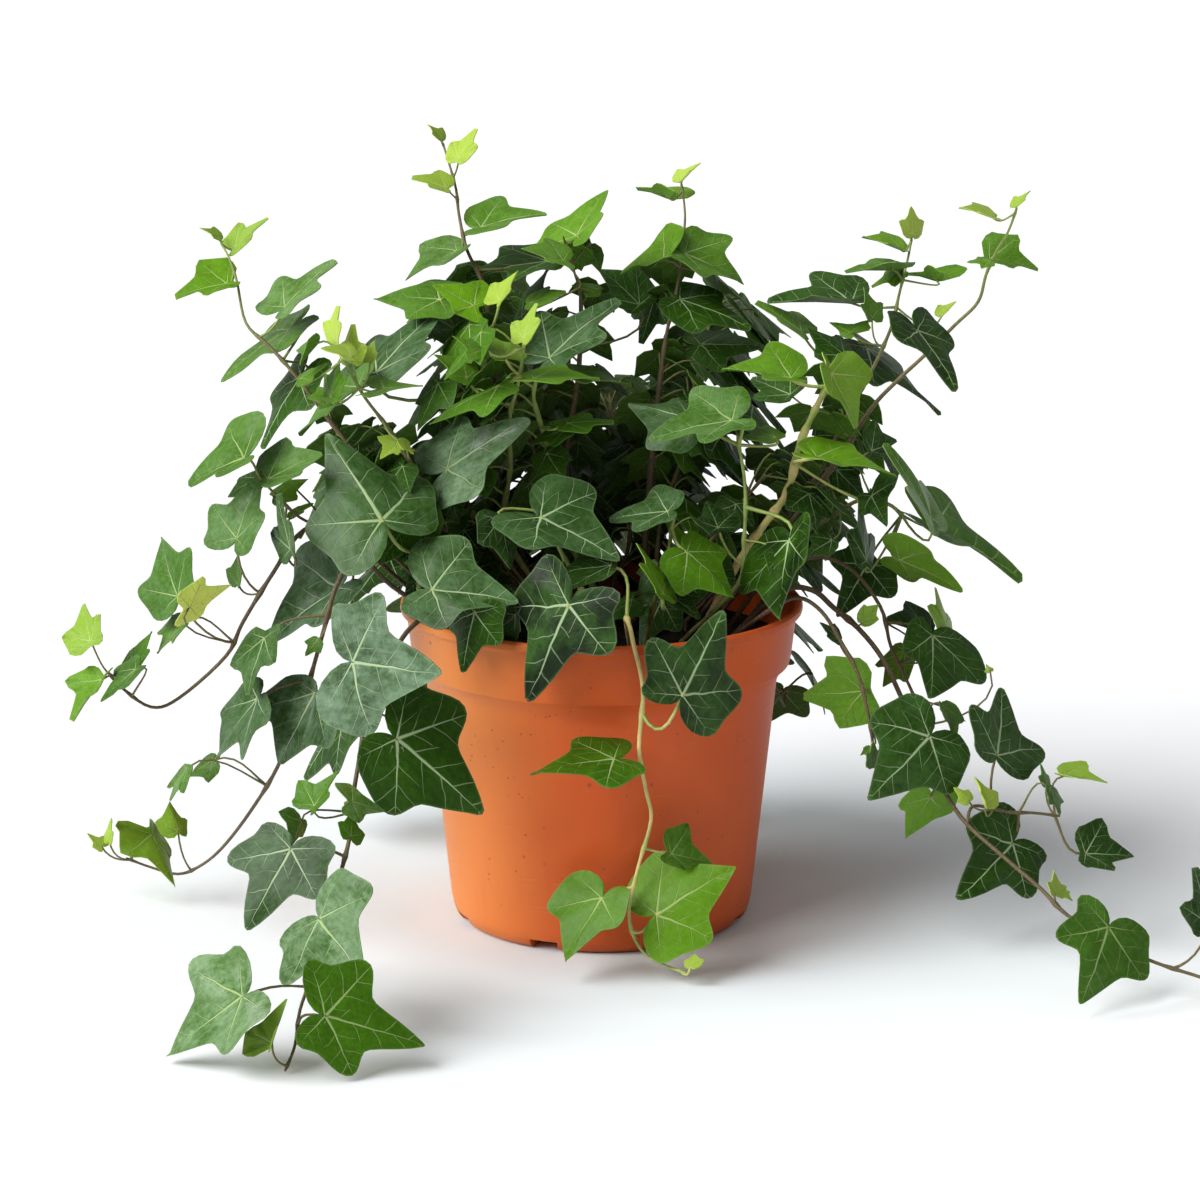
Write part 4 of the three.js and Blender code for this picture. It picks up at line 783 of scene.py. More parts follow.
layStem("stem_crown_right", 0, (24, -16), (1.25, 0.8), [
    "737 585 20, 744 540 20, 745 485 18, 737 435 16",
], [
    "732 421 648 437 8 0.6 m 690 391 700 441",
    "690 419 628 402 -4 0.4 o 675 399 645 446",
    "790 541 777 619 10 0.1 o 739 594 806 562",
    "775 438 742 425 0 0.6 m 765 425 742 437",
    "718 528 706 500 0 0.3 o 694 520 736 510",
])
layStem("shoot_crown_bright", 10, (30, -6), (1.5, 0.9), [
    "740 560 4, 764 525 4, 788 490 3, 799 446 2, 815 410 2, 830 381 2",
], [
    "831 374 858 430 2 0.4 y 873 378 831 396",
    "829 374 823 352 -1 0 y 825 363 833 365",
    "790 379 722 367 2 0.7 y 768 343 764 377",
    "816 458 897 472 6 0.6 y 852 443 838 464",
    "861 500 879 513 2 0.3 y 874 502 866 512",
])
layStem("shoot_crown_tall", 24, (-8, -8), (1.2, 0.6), [
    "508 540 4, 510 470 6, 510 415 6, 516 393 6, 522 363 6, 524 342 6",
], [
    "524 339 536 302 1 0.1 y 513 321 540 318",
    "504 356 478 331 4 0.6 y 515 342 480 347",
    "485 349 452 334 6 0.5 m 471 339 466 356",
    "498 387 427 421 6 0.5 m 463 402 482 416",
    "534 379 600 376 2 0.5 m 566 366 560 381",
    "466 378 434 353 2 0.4 m 460 352 446 374",
    "497 402 420 383 -20 0.5 o 466 383 462 402",
])
layStem("shoot_crown_back_left", -6, (-14, 6), (1.2, 0.7), [
    "466 500 -4, 474 420 -2, 486 350 0, 490 326 0",
], [
    "473 306 431 283 2 0.5 y 453 312 479 279",
    "500 300 518 269 2 0.1 y 492 283 510 290",
    "377 373 440 304 4 0.3 o 374 333 432 347",
    "440 300 373 296 -4 0.4 m 430 279 406 318",
    "455 330 402 300 -12 0.3 o 428 282 415 330",
])
layStem("shoot_crown_back_right", 14, (4, 2), (1.2, 0.7), [
    "560 520 0, 548 450 2, 534 400 3, 538 374 3",
], [
    "550 358 618 297 8 0.3 o 541 311 606 333",
    "561 373 632 383 4 0.6 m 592 366 585 382",
    "565 430 528 444 6 0.4 m 548 424 552 446",
    "568 424 615 420 6 0.5 m 592 414 590 431",
])
layStem("shoot_left_middle", 20, (-27, -2), (1.1, 0.5), [
    "450 540 10, 420 480 16, 394 436 18, 366 399 18, 352 375 18, 342 355 18",
], [
    "352 359 352 323 2 0.1 y 339 345 366 345",
    "350 357 321 347 1 0.3 y 344 340 342 358",
    "370 361 374 340 0 0 y 356 351 378 352",
    "337 341 337 305 0 0 y 324 321 340 322",
    "331 397 338 358 3 0.1 m 325 374 346 376",
    "332 400 307 397 0 0.5 m 317 386 318 409",
    "358 388 296 432 2 0.3 m 334 386 326 414",
    "384 389 426 385 0 0.5 m 378 376 372 396",
    "397 445 380 459 2 0.2 y 376 437 398 455",
    "400 441 414 454 1 0.2 y 411 443 404 451",
    "350 336 388 299 -26 0.2 o 341 304 364 328",
    "318 343 299 365 0 0 m 295 352 307 340",
    "301 379 328 362 -4 0.1 m 312 367 314 381",
])
layStem("shoot_left_high", -34, (-36, 8), (1.1, 0.45), [
    "420 530 -2, 345 440 -4, 295 375 -4, 269 346 -4, 246 323 -4, 237 282 -4, 229 258 -4, 220 241 -4",
], [
    "219 239 200 227 0 0.2 y 213 226 213 237",
    "236 247 268 216 0 0.2 y 240 221 252 238",
    "227 284 173 296 2 0.3 y 197 262 205 294",
    "285 307 334 258 2 0.2 m 283 276 320 284",
    "290 329 218 378 -6 0.2 m 261 335 274 353",
    "301 377 258 447 4 0.1 o 271 398 308 408",
])
layStem("shoot_top_left", -46, (-18, 16), (1.1, 0.45), [
    "500 480 -16, 496 380 -16, 484 290 -16, 467 250 -16, 459 215 -16, 456 189 -16, 448 160 -16",
    "442 141 -16",
], [
    "441 140 428 124 0 0 y 442 127 432 133",
    "459 159 476 127 0 0.2 y 452 141 478 145",
    "445 188 411 176 0 0.3 y 437 169 428 187",
    "457 251 403 279 1 0.2 m 418 247 440 264",
    "481 228 546 211 1 0.2 m 504 195 507 226",
    "548 262 463 275 -6 0.3 o 500 248 508 279",
])
layStem("shoot_top_middle", 16, (-2, 24), (1.1, 0.45), [
    "566 480 -32, 578 380 -34, 581 304 -34, 574 271 -30, 563 236 -26",
], [
    "577 236 606 188 2 0.2 y 550 222 604 214",
    "563 261 521 247 0 0.3 m 545 237 547 261",
    "522 316 549 262 -8 0 o 527 290 546 292",
    "530 304 566 290 0 0.3 m 550 285 553 302",
    "640 305 600 268 -6 0.2 o 634 264 598 296",
    "598 290 572 284 4 0.3 m 585 282 585 297",
])
layStem("shoot_top_right", -34, (12, 14), (1.1, 0.45), [
    "650 480 -14, 658 400 -16, 666 337 -16, 677 288 -16, 683 240 -16, 685 215 -16, 682 184 -16",
], [
    "682 181 700 162 0 0.1 y 677 168 690 171",
    "670 199 635 187 0 0.4 y 655 183 684 186",
    "684 254 745 282 3 0.2 m 733 239 706 276",
    "664 260 618 272 1 0.2 m 664 227 644 264",
    "680 300 752 326 -6 0.2 o 724 294 700 333",
    "655 300 640 345 -4 0.1 o 630 318 668 325",
    "700 345 765 345 -12 0.2 o 730 330 725 372",
])
layStem("shoot_right_middle", -30, (26, 10), (1.1, 0.5), [
    "800 500 -12, 850 410 -14, 876 362 -14, 892 325 -14, 899 295 -14, 908 258 -14, 912 236 -14",
], [
    "912 235 912 206 0 0 y 899 220 924 220",
    "901 250 862 235 0 0.4 y 881 230 886 243",
    "893 270 843 270 1 0.4 m 868 259 893 262",
    "900 272 870 286 1 0.2 m 885 272 893 286",
    "937 281 906 273 1 0.3 m 926 265 953 264",
    "851 303 767 300 2 0.3 o 810 271 812 297",
    "850 333 829 322 2 0.4 m 868 320 840 336",
    "872 318 864 287 0 0.1 m 883 302 860 304",
    "866 348 943 413 3 0.1 o 899 366 876 384",
    "942 316 956 301 -1 0.1 y 938 304 948 311",
    "845 356 806 325 -2 0.3 o 838 335 814 354",
    "800 331 755 300 -4 0.3 m 797 310 778 322",
])
layStem("shoot_right_high", 22, (34, 6), (1.15, 0.5), [
    "830 470 -4, 870 410 -5, 898 380 -5, 925 355 -5, 955 325 -5, 978 302 -5, 986 275 -5, 996 252 -5",
    "1008 232 -5, 1017 208 -5",
], [
    "1017 206 1030 190 0 0 y 1014 196 1025 199",
    "993 218 959 206 0 0.3 y 972 201 978 212",
    "990 259 1040 269 2 0.3 m 1020 236 1012 267",
    "990 262 967 261 0 0.3 m 977 257 981 268",
    "917 331 959 389 3 0.05 o 955 346 903 342",
    "790 395 750 378 -2 0.2 o 790 362 752 398",
])
layStem("trail_left_upper", 0, (-42, -2), (1.2, 0.6), [
    "390 572 12, 345 528 18, 304 530 22, 273 573 24, 243 622 24, 226 656 24, 179 698 24, 151 707 24",
    "121 687 24, 108 672 24",
], [
    "178 596 159 537 1 0.1 m 139 588 187 547",
    "237 538 258 474 4 0.2 m 211 504 265 514",
    "258 478 226 496 -2 0.2 o 238 479 244 502",
    "238 583 237 553 0 0 m 226 568 241 570",
    "189 607 232 584 2 0.3 u 204 575 200 618",
    "136 670 99 702 3 0.2 m 112 672 122 690",
    "133 664 152 630 -1 0.1 m 130 649 151 650",
    "184 621 156 654 0 0.2 m 156 634 172 644",
    "91 641 83 603 0 0.1 y 63 635 99 613",
    "102 680 70 722 1 0.1 y 65 684 94 693",
    "291 549 277 492 3 0.1 o 270 530 290 520",
])
layStem("shoot_left_out", 0, (-38, -12), (1.0, 0.5), [
    "392 555 26, 340 522 30, 306 521 32, 275 494 32, 255 471 32",
], [
    "244 459 186 483 2 0.2 m 226 424 217 478",
    "268 480 322 452 2 0.4 m 288 436 302 474",
    "276 495 308 477 -2 0.2 u 290 479 298 498",
    "291 517 313 502 1 0.2 u 298 505 305 512",
])
layStem("trail_left_middle", 0, (-36, -22), (1.2, 0.55), [
    "392 586 40, 360 556 44, 338 582 46, 321 640 46, 302 705 42, 278 766 34, 250 812 22, 222 848 10",
    "200 866 0, 178 874 -6, 150 867 -8, 126 858 -8",
], [
    "339 588 266 640 3 0.3 o 292 556 314 628",
    "265 638 245 696 3 0.1 o 231 668 272 664",
    "258 699 213 757 4 0.1 o 220 712 240 760",
    "213 760 189 776 0 0.2 m 200 760 208 784",
    "187 768 169 801 0 0 m 167 789 182 794",
    "178 831 170 801 1 0 m 154 821 187 819",
    "152 835 178 888 1 0 m 124 855 171 853",
    "101 846 87 833 0 0 y 104 835 92 847",
    "109 840 111 818 0 0 y 104 833 114 832",
    "318 640 305 656 -1 0.1 m 304 642 320 654",
])
layStem("trail_front_left", 0, (-27, -31), (1.3, 0.6), [
    "474 606 36, 452 606 44, 420 620 54, 398 645 62, 372 700 68, 354 790 80, 350 835 86, 341 872 92",
    "328 922 102, 314 970 114, 300 1010 126, 295 1045 138, 285 1071 145",
], [
    "353 662 437 674 4 0.2 o 385 597 371 734",
    "316 694 278 764 2 0.1 o 256 711 326 749",
    "396 739 485 814 6 0.1 o 468 714 396 816",
    "291 849 246 930 2 0.1 o 226 862 318 900",
    "320 919 361 975 3 0.1 m 371 893 288 986",
    "243 997 165 1056 2 0.1 m 189 965 222 1055",
    "325 1016 426 1045 4 0.1 o 371 966 354 1075",
    "272 1043 287 997 2 0.1 y 247 1030 278 1024",
    "301 822 290 847 0 0 m 277 812 303 838",
    "315 806 340 769 0 0 m 301 779 329 794",
    "352 802 386 811 2 0.2 m 352 785 361 823",
    "350 836 352 808 3 0 m 338 821 365 834",
])
layStem("trail_right_low", 0, (40, -8), (1.35, 0.7), [
    "782 592 12, 812 590 16, 834 608 18, 858 628 22, 882 658 26, 903 701 30, 925 750 36, 946 794 42",
    "967 824 48, 1005 858 57, 1040 888 65, 1067 915 71, 1110 942 77, 1154 962 82, 1200 977 86",
    "1238 990 92",
], [
    "929 736 870 800 6 0.2 o 870 722 947 795",
    "930 797 904 837 4 0.1 u 949 815 897 806",
    "1012 843 960 900 4 0.2 o 967 829 1027 899",
    "1108 928 1081 1004 6 0.3 m 1057 937 1143 981",
    "1085 854 1135 856 2 0.1 o 1105 819 1116 871",
    "1055 893 1054 870 1 0 y 1047 882 1067 886",
    "1060 892 1073 901 1 0.1 y 1070 892 1062 899",
    "1207 923 1195 866 2 0.1 o 1181 905 1237 886",
    "1262 962 1302 930 2 0.1 m 1262 928 1306 962",
    "1236 1000 1270 1019 3 0.1 m 1266 998 1240 1018",
    "996 755 1003 687 3 0.1 o 972 704 1043 748",
    "942 706 956 738 0 0 m 965 722 946 722",
    "1064 776 1109 782 1 0.3 y 1088 763 1080 777",
    "1046 784 1041 763 0 0 m 1038 776 1049 775",
    "1049 788 1061 815 1 0 m 1064 803 1050 805",
    "968 800 954 787 0 0 y 968 789 957 802",
    "985 805 975 776 2 0 y 998 791 981 792",
    "862 622 878 604 3 0 u 864 603 880 619",
], [
    "967 824 48, 974 806 46, 1008 812 44, 1034 813 44, 1060 816 44",
])
layStem("trail_right_short", 0, (36, -20), (1.1, 0.6), [
    "776 606 36, 800 598 40, 822 612 41, 840 640 42, 858 674 43, 868 714 44, 873 745 44, 874 768 44",
], [
    "863 691 803 695 -3 0 u 824 657 837 727",
    "870 765 874 742 1 0 m 866 752 880 750",
    "870 748 860 755 0 0.1 m 863 748 866 756",
    "838 640 820 622 -6 0 o 826 636 834 622",
])
layStem("trail_right_mid", 0, (43, 2), (1.1, 0.6), [
    "800 562 -4, 846 566 -2, 880 606 2, 891 647 6, 909 685 12, 922 714 16, 930 727 18",
], [
    "932 636 933 697 4 0.1 o 983 684 905 655",
    "928 634 887 617 1 0.3 o 905 600 908 631",
    "946 627 936 586 0 0 y 928 604 949 616",
    "905 650 882 687 2 0.1 m 875 667 905 683",
    "944 707 966 721 -4 0.2 m 957 706 952 722",
    "990 670 986 664 0 0 y 984 672 993 668",
])
layStem("shoot_right_low", 0, (38, -2), (1.2, 0.8), [
    "790 545 4, 826 520 2, 860 500 0, 888 504 -1, 905 518 -2",
], [
    "933 528 1026 576 1 0.2 m 953 499 960 545",
    "900 560 964 588 3 0.1 u 932 549 913 583",
    "866 561 861 502 8 0.1 o 848 530 873 534",
    "866 566 838 617 8 0.1 o 829 561 892 598",
    "931 520 886 442 -2 0.1 m 924 480 905 489",
    "871 451 898 441 4 0.3 o 876 420 886 455",
    "872 496 887 527 7 0.1 o 897 480 861 516",
    "832 540 806 556 9 0.2 o 806 535 828 558",
    "836 470 866 500 3 0.2 o 862 470 838 498",
])

ruledStems = [
    ("trail_back_right", 52, 38, 16, 92, 44, 6, 21),
    ("trail_back_mid_right", 72, 40, 20, 96, 8, 9, 22),
    ("trail_back_middle", 92, 39, 14, 84, 22, 7, 23),
    ("trail_back_mid_left", 110, 40, 22, 100, 6, 9, 24),
    ("trail_back_left", 131, 38, 16, 94, 40, 6, 25),
    ("shoot_back_right", 34, 26, 44, 92, 128, 7, 26),
    ("shoot_back_mid_right", 62, 22, 66, 78, 178, 7, 27),
    ("shoot_back_middle", 88, 26, 48, 92, 146, 7, 28),
    ("shoot_back_mid_left", 121, 27, 60, 76, 184, 7, 29),
    ("shoot_back_left", 148, 26, 44, 92, 134, 7, 30),
    ("shoot_inner_right", 8, 15, 30, 50, 136, 7, 31),
    ("shoot_inner_far_right", 22, 32, 30, 66, 118, 6, 32),
    ("shoot_inner_back_right", 48, 12, 30, 44, 152, 7, 33),
    ("shoot_inner_back", 76, 15, 30, 40, 128, 6, 34),
    ("shoot_inner_middle", 100, 33, 30, 62, 116, 6, 35),
    ("shoot_inner_back_left", 130, 12, 30, 42, 150, 7, 36),
    ("shoot_inner_left", 172, 17, 30, 52, 132, 7, 37),
    ("shoot_inner_far_left", 158, 33, 30, 68, 114, 6, 38),
]


# a stem by rule: angle round the pot, root, climb, reach, height, leaves, seed
def ruleStem(name, angle, root, climb, reach, height, count, seed):
    turn = math.radians(angle)
    draw = draws(seed)
    out = (math.cos(turn), math.sin(turn))
    rim = stemRules["rimReach"]
    if height < stemRules["hangsBelow"]:  # over the rim and down
        line = [(root + 12, soilTop + climb), (rim, soilTop + climb + 1),
                (0.45 * rim + 0.55 * reach, (soilTop + 2 * height) / 3 + 12), (reach - 4, height + 8),
                (reach + 6, height)]
    else:
        line = [(root + 8, soilTop + 0.4 * climb), (0.6 * root + 0.4 * reach, (soilTop + height) / 2),
                (0.3 * root + 0.7 * reach, 0.25 * soilTop + 0.75 * height), (reach, height)]
    points = []
    for r, z in line:
        sway = stemRules["sway"] * (draw() - 0.5)
        points.append((out[0] * r - out[1] * sway, out[1] * r + out[0] * sway, z))
    plans.append({"name": name, "root": (out[0] * root, out[1] * root), "thick": stemRules["thick"],
                  "points": points, "count": count})


for row in ruledStems:
    ruleStem(*row)
shifts = (0, 3, -3, 6, -6, 9, -9, 13, -13, 18, -18, 24, -24)
attempts = range(36)


# the middle line of a stem from its hole in the soil to its end
def stemLine(plan, shift, parts):
    x, y = plan["root"]
    foot = np.array([x, y, soilTop - holeDepth + stemRules["foot"]])
    if "points" in plan:
        line = plan["points"]
    else:
        last = len(plan["route"]) - 1
        line = [seen(u, v, near + shift + plan["lean"] * (i / last) ** stemRules["bow"])
                for i, (u, v, near) in enumerate(plan["route"])]
    return [foot, *smooth([(x, y, soilTop + stemRules["collar"]), *line], parts)]


def branchLine(plan, shift, parts):
    return smooth([seen(u, v, near + shift) for u, v, near in plan["branch"]], parts)


# the point of a line that is seen nearest to a leaf's base, a little behind it
def nearestSeen(line, row, first):
    baseU, baseV, tipU, tipV = row[:4]
    length = math.hypot(tipU - baseU, tipV - baseV)
    aimU = baseU - (stemRules["behind"] * (tipU - baseU)) / length
    aimV = baseV - (stemRules["behind"] * (tipV - baseV)) / length
    found = []
    for i in range(first, len(line)):
        t = stemRules["between" if i < len(line) - 1 else "atEnd"]
        point = line[i - 1] * (1 - t) + line[i] * t
        found.append((size(point - seen(aimU, aimV, -point[1])), i, point))
    return min(found)


def nodeTree(name):
    points = corners(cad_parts[name].data) / mm
    tree = kdtree.KDTree(len(points))
    for i, point in enumerate(points):
        tree.insert(point, i)
    tree.balance()
    return tree


def farFrom(tree, point):
    return tree.find(point)[2]


bladeThickness, leastLean, tipMatch = 0.62, 0.62, 0.05


# how far a leaf's tip, above and below the blade's middle, is from the CAD node's
def tipMiss(tree, leaf):
    spread = max(leastLean, float(leaf["normal"] @ leaf["rightNormal"]))
    mark = leaf["normal"] * (bladeThickness / 2 / spread)
    return max(farFrom(tree, leaf["tip"] + mark), farFrom(tree, leaf["tip"] - mark))


# the leaves of one stem that the CAD node has, each with the point it grows from
def leavesOf(plan, number, tree):
    line, count = plan["line"], plan.get("count")
    found = []
    for i, row in enumerate(plan.get("leaves") or range(count)):
        seed = number * 40 + i
        if "leaves" in plan:
            spots = [nearestSeen(line, row, 3)]
            if "sideLine" in plan:
                spots.append(nearestSeen(plan["sideLine"], row, 2))
            spot = min(spots)[2]
            tries = [seenLeaf(row, -spot[1] + row[4] + shift, seed) for shift in shifts]
            age = ages[row[6]]
            if row[6] == "y":
                age = float(np.interp(size(tries[0]["mid"]), *youngAges))
        else:
            place = stemRules["firstLeaf"] + ((len(line) - stemRules["spare"]) * (i + 1)) / count
            step = min(math.floor(place), len(line) - 2)
            spot = line[step] * (1 - place + step) + line[step + 1] * (place - step)
            tries = [ruledLeaf(spot, i, seed, attempt) for attempt in attempts]
            age = 0.0
        misses = [tipMiss(tree, leaf) for leaf in tries]
        if min(misses) < tipMatch:
            leaf = tries[misses.index(min(misses))]
            found.append({"leaf": leaf, "spot": spot, "age": age, "seed": seed, "row": i})
    return found


def readPlan(plan, number):
    tree = nodeTree(plan["name"])
    parts, tries = (2, [0]) if "points" in plan else (1, shifts)
    misses = [sum(farFrom(tree, p) for p in stemLine(plan, shift, parts)[-3:]) for shift in tries]
    shift = tries[misses.index(min(misses))]
    plan["line"], plan["curve"] = stemLine(plan, shift, parts), stemLine(plan, shift, 5)
    if "branch" in plan:
        plan["sideLine"], plan["sideCurve"] = branchLine(plan, shift, 1), branchLine(plan, shift, 5)
    plan["grown"] = leavesOf(plan, number, tree)


for number, plan in enumerate(plans):
    readPlan(plan, number)
print("stems read:", len(plans), "leaves:", sum(len(plan["grown"]) for plan in plans))

# small dark leaves deep in the crown, on the stems that are there
innerSettings = {
    "tries": 20000, "most": 300, "seed": 907, "leafSeed": 9000, "attempts": 14, "age": 0.4,
    "shrink": (0.5, 0.4), "closer": 0.8,
    "middle": (600, 440), "spread": (270, 185), "near": 42, "low": 98, "room": 4.2, "heart": 0.45,
    "cover": 0.38, "coverBehind": 2, "beside": 18, "besideBright": 27, "besideBehind": 4,
    "openStems": ("shoot_crown_bright", "stem_crown_right", "stem_trail_front", "shoot_crown_tall"),
}


def heartOf(leaf):
    return leaf["base"] + leaf["mid"] * innerSettings["heart"]


def leafMarks(leaf):
    base = leaf["base"]
    return [base, leaf["tip"], base + leaf["right"], base + leaf["left"], heartOf(leaf)]


# whether a leaf would hide one of the leaves that were laid out in the camera's view
def hides(own, free):
    for mark in own:
        u, v = seenAt(mark)
        over = (free[:, 0] - u) ** 2 + (free[:, 1] - v) ** 2 < free[:, 3] ** 2
        if np.any(over & (mark[1] < free[:, 2])):
            return True
    return False


# what the inner leaves leave free, as it is seen: u, v, depth and how far round it
def keptFree():
    s = innerSettings
    free = []
    for plan in plans:
        for one in plan["grown"] if "leaves" in plan else []:
            heart = heartOf(one["leaf"])
            wide = s["cover"] * one["leaf"]["size"] * viewFocal / viewDistance
            free.append([*seenAt(heart), heart[1] + s["coverBehind"], wide])
        if plan["name"] in s["openStems"]:
            wide = s["besideBright"] if plan["name"] == "shoot_crown_bright" else s["beside"]
            free += [[*seenAt(point), point[1] + s["besideBehind"], wide] for point in plan["curve"]]
    return np.array(free)


def addInnerLeaves():
    s = innerSettings
    draw = draws(s["seed"])
    free = keptFree()
    marks = np.array([mark for plan in plans for one in plan["grown"] for mark in leafMarks(one["leaf"])])
    hosts = [plan for plan in plans if plan["name"].startswith(("shoot_", "stem_crown"))]
    added = 0
    for attempt in range(s["tries"]):
        if added >= s["most"]:
            break
        plan = hosts[int(draw() * len(hosts))]
        curve = plan["curve"]
        spot = curve[int(3 + draw() * (len(curve) - 4))]
        leaf = ruledLeaf(spot, attempt, int(draw() * 1e6), int(draw() * s["attempts"]))
        shrink = s["shrink"][0] + s["shrink"][1] * draw()
        mid, right, left = (leaf[key] * shrink for key in ("mid", "right", "left"))
        leaf = finishLeaf(spot + (leaf["base"] - spot) * s["closer"], mid, right, left, leaf["cup"])
        own = np.array(leafMarks(leaf))
        off = (np.array(seenAt(own[4])) - s["middle"]) / s["spread"]
        if off @ off > 1 or own[:, 1].min() < -s["near"] or own[:, 2].min() < s["low"]:
            continue
        if np.linalg.norm(marks[:, None] - own[None], axis=2).min() < s["room"] or hides(own, free):
            continue
        marks = np.concatenate([marks, own])
        age, seed = s["age"] * draw(), s["leafSeed"] + attempt
        plan["grown"].append({"leaf": leaf, "spot": spot, "age": age, "seed": seed, "row": -1})
        added += 1
    print("inner leaves:", added)


addInnerLeaves()

# stems and petioles: round curves made into meshes
tubeSettings = {
    "stemSides": 2, "petioleSides": 1, "slim": 0.66, "knuckle": 0.32, "knuckleReach": 2.6, "end": 0.6,
    "branch": (0.8, 0.6), "petiole": 0.34, "petiolePoints": 7,
    "taper": ([0, 2, 6, 7], [1.35, 1.0, 1.05, 0.5]),
    "smallLeaf": 16, "smallPetiole": 0.8, "intoMidrib": 0.07,
    "back": (0.42, 9), "under": (0.14, 3), "ahead": (0.2, 3), "early": 0.25, "sag": 1.6,
}


# from the stem to a leaf's base, which it meets from behind and below, sagging in between
def petioleLine(spot, leaf, droop):
    s = tubeSettings
    base = leaf["base"]
    span = size(base - spot)
    back, under, ahead = (min(share * span, most) for share, most in (s["back"], s["under"], s["ahead"]))
    hold = base - unit(leaf["mid"]) * back - leaf["normal"] * under
    start = spot * (1 - s["early"]) + hold * s["early"] + unit(base - spot) * ahead
    sag = np.array([0, 0, -droop * span * max(0, float(unit(leaf["mid"])[2]))])
    start, hold = start + sag * s["sag"], hold + sag
    line = []
    for t in np.linspace(0, 1, s["petiolePoints"]):
        r = 1 - t
        line.append(spot * r ** 3 + start * (3 * r * r * t) + hold * (3 * r * t * t) + base * t ** 3)
    return line + [base + leaf["mid"] * s["intoMidrib"]]


def addTubes(name, tubes, sides, age):
    data = bpy.data.curves.new(name, "CURVE")
    data.dimensions = "3D"
    data.bevel_depth = mm
    data.bevel_resolution = sides
    data.use_fill_caps = True
    for line, radii in tubes:
        spline = data.splines.new("POLY")
        spline.points.add(len(line) - 1)
        for point, place, radius in zip(spline.points, line, radii):
            point.co = (*(place * mm), 1)
            point.radius = radius
    pickOnly(addObject(name, data))
    bpy.ops.object.convert(target="MESH")
    piece = bpy.context.active_object
    giveFinishes(piece, ivyFinishes)
    piece.data.polygons.foreach_set("material_index", [stemSlot] * len(piece.data.polygons))
    piece.data.shade_smooth()
    setAttribute(piece.data, "stemAge", age)
    return piece


# the radii along a stem, with a knuckle where a leaf grows
def stemRadii(curve, thick, spots):
    radii = []
    for point, radius in zip(curve, np.linspace(*thick, len(curve))):
        near = min([size(point - spot) for spot in spots], default=99)
        swell = tubeSettings["knuckle"] * max(0, 1 - near / tubeSettings["knuckleReach"])
        radii.append(radius * (tubeSettings["slim"] + swell))
    radii[-1] *= tubeSettings["end"]
    return radii


def closestOn(curves, spot):
    best = min((size(point - spot), k, i)
               for k, curve in enumerate(curves) for i, point in enumerate(curve))
    return curves[best[1]][best[2]]


# the painted grey sheen of each leaf on the stems where it differs, and of the others by the start of the
# name
leafPaintedSheens = {
    "stem_trail_front": [0.1, 0, 0.1, 0.05, 0.1, 0, 0.05],
    "stem_crown_left": [0.34, 0.9, 0.32, 0.0],
    "stem_crown_front": [0.06, 0.2, 0.05, 0.1],
    "stem_crown_mid_front": [0.4, 0, 0.05, 0, 0],
    "stem_crown_right": [0.34, 0.3, 0, 0.2, 0.05],
    "shoot_crown_back_left": [0, 0, 0.4, 0.1, 0.4],
    "shoot_crown_back_right": [0.36, 0.1, 0, 0],
    "shoot_left_middle": [0, 0.1, 0.15, 0, 0.05, 0.2, 0.25, 0.2, 0, 0, 0, 0.25, 0.1],
    "shoot_left_high": [0, 0.15, 0, 0.45, 0.35, 0],
    "shoot_top_left": [0, 0, 0, 0.3, 0.15, 0],
    "trail_left_upper": [0.2, 0.45, 0, 0.05, 0.1, 0.15, 0.05, 0.3, 0.15, 0.1, 0.1],
    "shoot_left_out": [0.2, 0.35, 0, 0],
    "trail_left_middle": [0.55, 0.26, 0.36, 0.3, 0.35, 0.1, 0.08, 0, 0, 0.1],
    "trail_front_left": [0.8, 0.8, 0, 0.28, 0.75, 0.85, 0, 0, 0.2, 0.1, 0.4, 0],
}
# single leaves that are fresher, or older, than their size says, and some that get more painted shade
leafLifts = {
    "trail_left_middle": {6: 0.4, 5: 0.3, 1: 0.15}, "trail_front_left": {6: 0.42, 5: -0.02, 4: -0.26},
    "stem_crown_right": {0: -0.12}, "trail_left_upper": {4: 0.2, 0: -0.08, 1: -0.2},
    "stem_crown_mid_front": {3: 0.16, 2: 0.2}, "stem_trail_front": {3: 0.1, 4: 0.2, 2: 0.45},
    "shoot_crown_bright": {0: 0.1},
}
leafDark = {
    "stem_crown_right": {2: 0.6, 4: 0.5}, "stem_crown_front": {0: 0.8}, "stem_trail_front": {0: 0.45},
}
# by the start of a stem's name, the first that fits
paintedSheenRest = {"shoot_inner": 0.03, "trail_right": 0.08, "": 0.06}
leafShades = {  # how much painted shade darkens its old leaves, before a random share is added
    "stem_crown_left": 0.3, "stem_crown_front": 0.5, "stem_crown": 0.4, "shoot_crown": 0.3,
    "shoot_top": 0.5, "shoot_right": 0.45, "trail_front": 0.1, "trail_left": 0.15, "": 0.3,
}
stemAges = {  # how green it is at its root, at its end and at its petioles
    "stem_trail": (1.0, 0.86, 0.84), "stem_crown": (0.6, 0.8, 0.74),
    "shoot_crown_bright": (1.0, 0.84, 0.78), "shoot_crown": (0.4, 0.82, 0.74),
    "shoot_inner": (0.05, 0.4, 0.5), "shoot_left_out": (0.1, 0.3, 0.35), "shoot_left": (0.02, 0.72, 0.6),
    "shoot_top": (0.02, 0.4, 0.4), "shoot_right": (0.05, 0.7, 0.5),
    "trail_": (0.06, 0.2, 0.3), "": (0.1, 0.4, 0.4),
}
stemWidths = {"shoot_crown_bright": 1.25, "stem_crown_right": 0.85, "": 1.0}
petioleWidths = {"shoot_crown": 1.6, "stem_crown": 1.6, "stem_trail": 1.4, "": 1.1}
